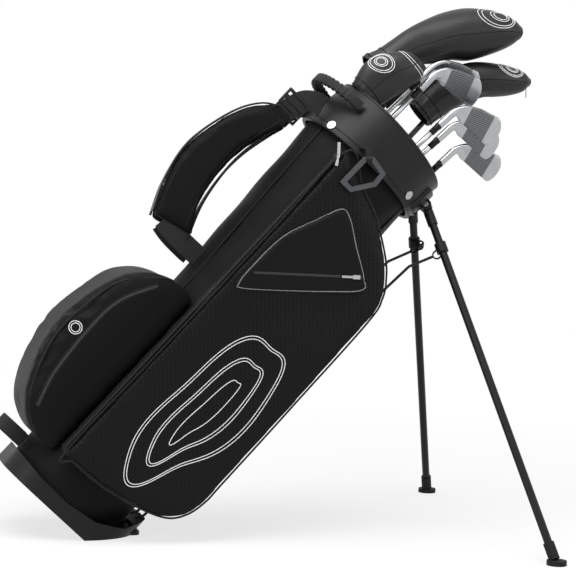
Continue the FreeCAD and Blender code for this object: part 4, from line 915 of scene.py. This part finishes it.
# lacquered carbon fibre: near black, with a clear gloss
lacquer = moulded("clear-lacquered carbon fibre", "0a0a0b", "131315", 0.16, 0.004, 0.05)
gloss_paint = coated_metal("gloss-painted titanium", "0d0d10", "17171b", 0.15)
satin_steel = metal("bead-blasted steel", "5e5f61", "7c7d7f", 0.4, 0.15, 0.0015)

# polyurethane leather: a 2 mm pebble grain drawn coarse enough to show, softly glossy on the crests
leather, tree, out = bare("pebbled polyurethane leather")
place = node(tree, "ShaderNodeTexCoord").outputs["Object"]
pebble = node(tree, "ShaderNodeTexVoronoi", {"Vector": place, "Scale": 420.0}, feature="SMOOTH_F1")
crease = node(tree, "ShaderNodeTexNoise", {"Vector": place, "Scale": 26.0, "Detail": 6.0})
both = node(tree, "ShaderNodeMath", {0: pebble.outputs["Distance"], 1: crease.outputs[0]}, operation="ADD")
colour = node(tree, "ShaderNodeMix", {0: crease.outputs[0], 6: paint("0e0e0f"), 7: paint("1e1e20")},
              data_type="RGBA")
dull = node(tree, "ShaderNodeMapRange", {"Value": crease.outputs[0], 3: 0.34, 4: 0.52})
bump = node(tree, "ShaderNodeBump", {"Height": both.outputs[0], "Strength": 0.22, "Distance": 0.0012})
shader = node(tree, "ShaderNodeBsdfPrincipled", {"Base Color": colour.outputs[2], "Roughness": dull.outputs[0],
                                                "Normal": bump.outputs[0], "Specular IOR Level": 0.35})
tree.links.new(shader.outputs[0], out.inputs["Surface"])

# each cover from neck to crown: its two outlines, forward and up; its half widths; its middle
# across the bag; and how deep its folds are
COVERS = {
    "driver": ([(-138, 965), (-128, 991), (-121, 1021), (-113, 1055), (-99, 1093), (-79, 1136), (-52, 1175),
                (-12, 1206), (18, 1218), (40, 1219)],
               [(-84, 949), (-72, 973), (-65, 999), (-53, 1026), (-32, 1051), (-11, 1080), (16, 1107),
                (40, 1149), (52, 1178), (55, 1196)],
               [30, 29, 28, 29, 36, 46, 50, 46, 36, 25],
               [57, 57, 58, 62, 72, 84, 90, 88, 83, 80], 1.4),
    "fairway": ([(-12, 972), (-12, 1000), (-9, 1034), (1, 1070), (19, 1104), (44, 1130), (76, 1152),
                 (104, 1165), (122, 1166)],
                [(44, 966), (50, 992), (57, 1022), (68, 1050), (80, 1074), (98, 1094), (117, 1117), (129, 1137),
                 (131, 1152)],
                [22, 22, 22, 24, 28, 30, 28, 22, 12], [84] * 9, 1.2),
    "hybrid": ([(-134, 894), (-141, 912), (-145, 934), (-140, 958), (-130, 978), (-116, 994), (-103, 1006)],
               [(-78, 892), (-72, 908), (-66, 930), (-60, 952), (-55, 972), (-53, 988), (-58, 1008)],
               [22, 23, 24, 25, 25, 22, 15], [-38] * 7, 0.9),
    "putter": ([(-74, 924), (-75, 940), (-73, 956), (-67, 970), (-57, 981)],
               [(-44, 924), (-38, 934), (-32, 948), (-29, 962), (-31, 976)],
               [14, 17, 19, 18, 12], [27] * 5, 1.0),
}


def hood(first, second, half, across, tuck, rows=90, cols=120):
    """Cover skin: ellipses strung between two outlines, both outlines smoothed.

    A ring's centre and long axis run from one outline to the other; folds are waves round the ring
    that are strongest at the gathered neck and where the cover turns over the head.
    """
    first, second = drawn(first, rows), drawn(second, rows)
    deep, middle_y = (drawn(np.stack([run, run], axis=-1), rows)[:, :1] for run in (half, across))
    turn = np.linspace(0, 2 * np.pi, cols, endpoint=False)
    share = np.linspace(0, 1, rows)[:, None]
    middle, reach = (first + second) / 2, (second - first) / 2
    ripple = tuck * (np.exp(-((share - 0.05) / 0.07) ** 2) * np.sin(12 * turn + 2 * share)
                     + 0.8 * np.exp(-((share - 0.45) / 0.12) ** 2) * np.sin(9 * turn + 7 * share)
                     * np.clip(np.cos(turn), 0, 1) + 0.35 * np.sin(3 * turn + 11 * share))
    along = np.cos(turn)[None] * (1 + ripple / 30)
    side = np.sin(turn)[None] * (1 + ripple / 30)
    rings = np.stack([middle[:, :1] + reach[:, :1] * along, middle_y + deep * side,
                      middle[:, 1:] + reach[:, 1:] * along], axis=-1)
    crown = rings[-1].mean(axis=0)
    push = (middle[-1] - middle[-4]) / np.linalg.norm(middle[-1] - middle[-4])
    ease = np.linspace(0.12, 0.995, 14)[:, None, None]
    dome = crown + (rings[-1] - crown) * np.sqrt(1 - ease ** 2) + np.array([push[0], 0, push[1]]) * 4 * ease
    return np.concatenate([rings, dome])


def hood_line(rings, rows_at, cols_at, lift=0.5):
    """Line over a cover, from row and column numbers read between the grid's points."""
    middle = rings.mean(axis=1, keepdims=True)
    raised = rings + (rings - middle) / np.linalg.norm(rings - middle, axis=-1, keepdims=True) * lift
    low_row, low_col = np.floor(rows_at).astype(int), np.floor(cols_at).astype(int)
    up_row = np.minimum(low_row + 1, len(rings) - 1)
    part_row, part_col = (rows_at - low_row)[:, None], (cols_at - low_col)[:, None]
    here, onward = low_col % rings.shape[1], (low_col + 1) % rings.shape[1]
    lower = raised[low_row, here] * (1 - part_col) + raised[low_row, onward] * part_col
    upper = raised[up_row, here] * (1 - part_col) + raised[up_row, onward] * part_col
    return lower * (1 - part_row) + upper * part_row


# where each cover's pressed rings lie: row, column and half sizes on its grid
EMBLEMS = {"driver": (70, 74, 9, 13), "fairway": (68, 72, 8, 13), "hybrid": (44, 74, 13, 13)}
# name; where the shaft crosses CLUB_RISE, forward and across; its tilt; its well's floor; height of its tip
WOODS = (("driver", -88, 57, -1.4, 21, 1036), ("fairway", 31, 76, 0.0, 69, 1012),
         ("hybrid", -103, -38, -1.4, 21, 934), ("putter", -57, 26, 0.0, 69, 922))
# the row of a cover's grid at which the head inside it starts
HEAD_ROW = 34
for name, out_at, across_at, tilt, floor_at, reach in WOODS:
    place = (out_at, across_at, tilt, floor_at)
    start = reach - clubbed([0, 0, 0], *place)[1]
    for piece in shafted(name, place, start, 5.0, lacquer, False):
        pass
    rings = hood(*COVERS[name])
    # the head fills its cover: the cover's own rings drawn in, from the hosel to the toe
    filled = rings[HEAD_ROW:]
    heart = filled.mean(axis=1, keepdims=True)
    size = np.interp(np.arange(HEAD_ROW, len(rings)), [HEAD_ROW, 38, 50, 89, 103],
                     [0.2, 0.24, 0.8, 0.84, 0.84])
    paint_on, slot_on = (satin_steel, "putter_head") if name == "putter" else (gloss_paint, "wood_head")
    inner = stood(heart + (filled - heart) * size[:, None, None])
    # a hosel stands on the shaft's tip and swells into the head
    hosel = clubbed(turned([(6.2, start - 3), (6.2, start + 6)], 120), *place)[0]
    swell = np.linspace(0, 1, 12)[1:-1, None, None]
    neck = hosel[-1] * (1 - swell) + inner[0] * swell
    head = surface(name + "_club_head", np.concatenate([hosel, neck, inner]), paint_on, name + "_club",
                   round_cols=True, capped=True)
    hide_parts(name + "_head")
    cover = walled(surface(name + "_cover_leather", stood(rings), leather, name + "_cover_body",
                           round_cols=True), 0.003)
    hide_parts(name + "_cover")
    if name in ("driver", "fairway"):
        finer = cover.modifiers.new("finer", "SUBSURF")
        finer.levels = finer.render_levels = 1
    full_turn = np.linspace(0, 120, 240, endpoint=False)
    along = np.linspace(12, 92, 240)
    marks = [("neck_piping", np.full(240, 3.0), full_turn, 1.3, True, binding),
             ("neck_seam", np.full(240, 12.0), full_turn, 0.8, True, binding),
             ("crown_seam", along, np.full(240, 30.0), 0.9, False, binding),
             ("sole_seam", along, np.full(240, 90.0), 0.9, False, binding)]
    if name == "hybrid":
        marks += [(f"white_piping_{row}", np.full(240, row * 1.0), full_turn, 0.7, True, film)
                  for row in (76, 81)]
    if name in EMBLEMS:
        row, col, tall, wide = EMBLEMS[name]
        around = np.linspace(0, 2 * np.pi, 240, endpoint=False)
        marks += [(f"ring_{index}", row + share * tall * np.sin(around), col + share * wide * np.cos(around),
                   0.75, True, film) for index, share in enumerate((1.0, 0.84, 0.5, 0.36))]
    for label, rows_at, cols_at, thick, looped, material in marks:
        trimmed(f"{name}_{label}", hood_line(rings, rows_at, cols_at), ring_of(thick, 8), material,
                name + "_cover_body", (0.25, 0.12, 0.96), looped)

# the fairway cover closes with a short zip, whose pull hangs from its far end
drop = np.array([131.0, 84, 1150]) + np.linspace(0, 19, 20)[:, None] * (TURN.T @ np.array([0, 0, -1.0]))
trimmed("fairway_cover_pull", drop, flat_of(3.6, 1.4), bright_zinc, "fairway_cover_body")
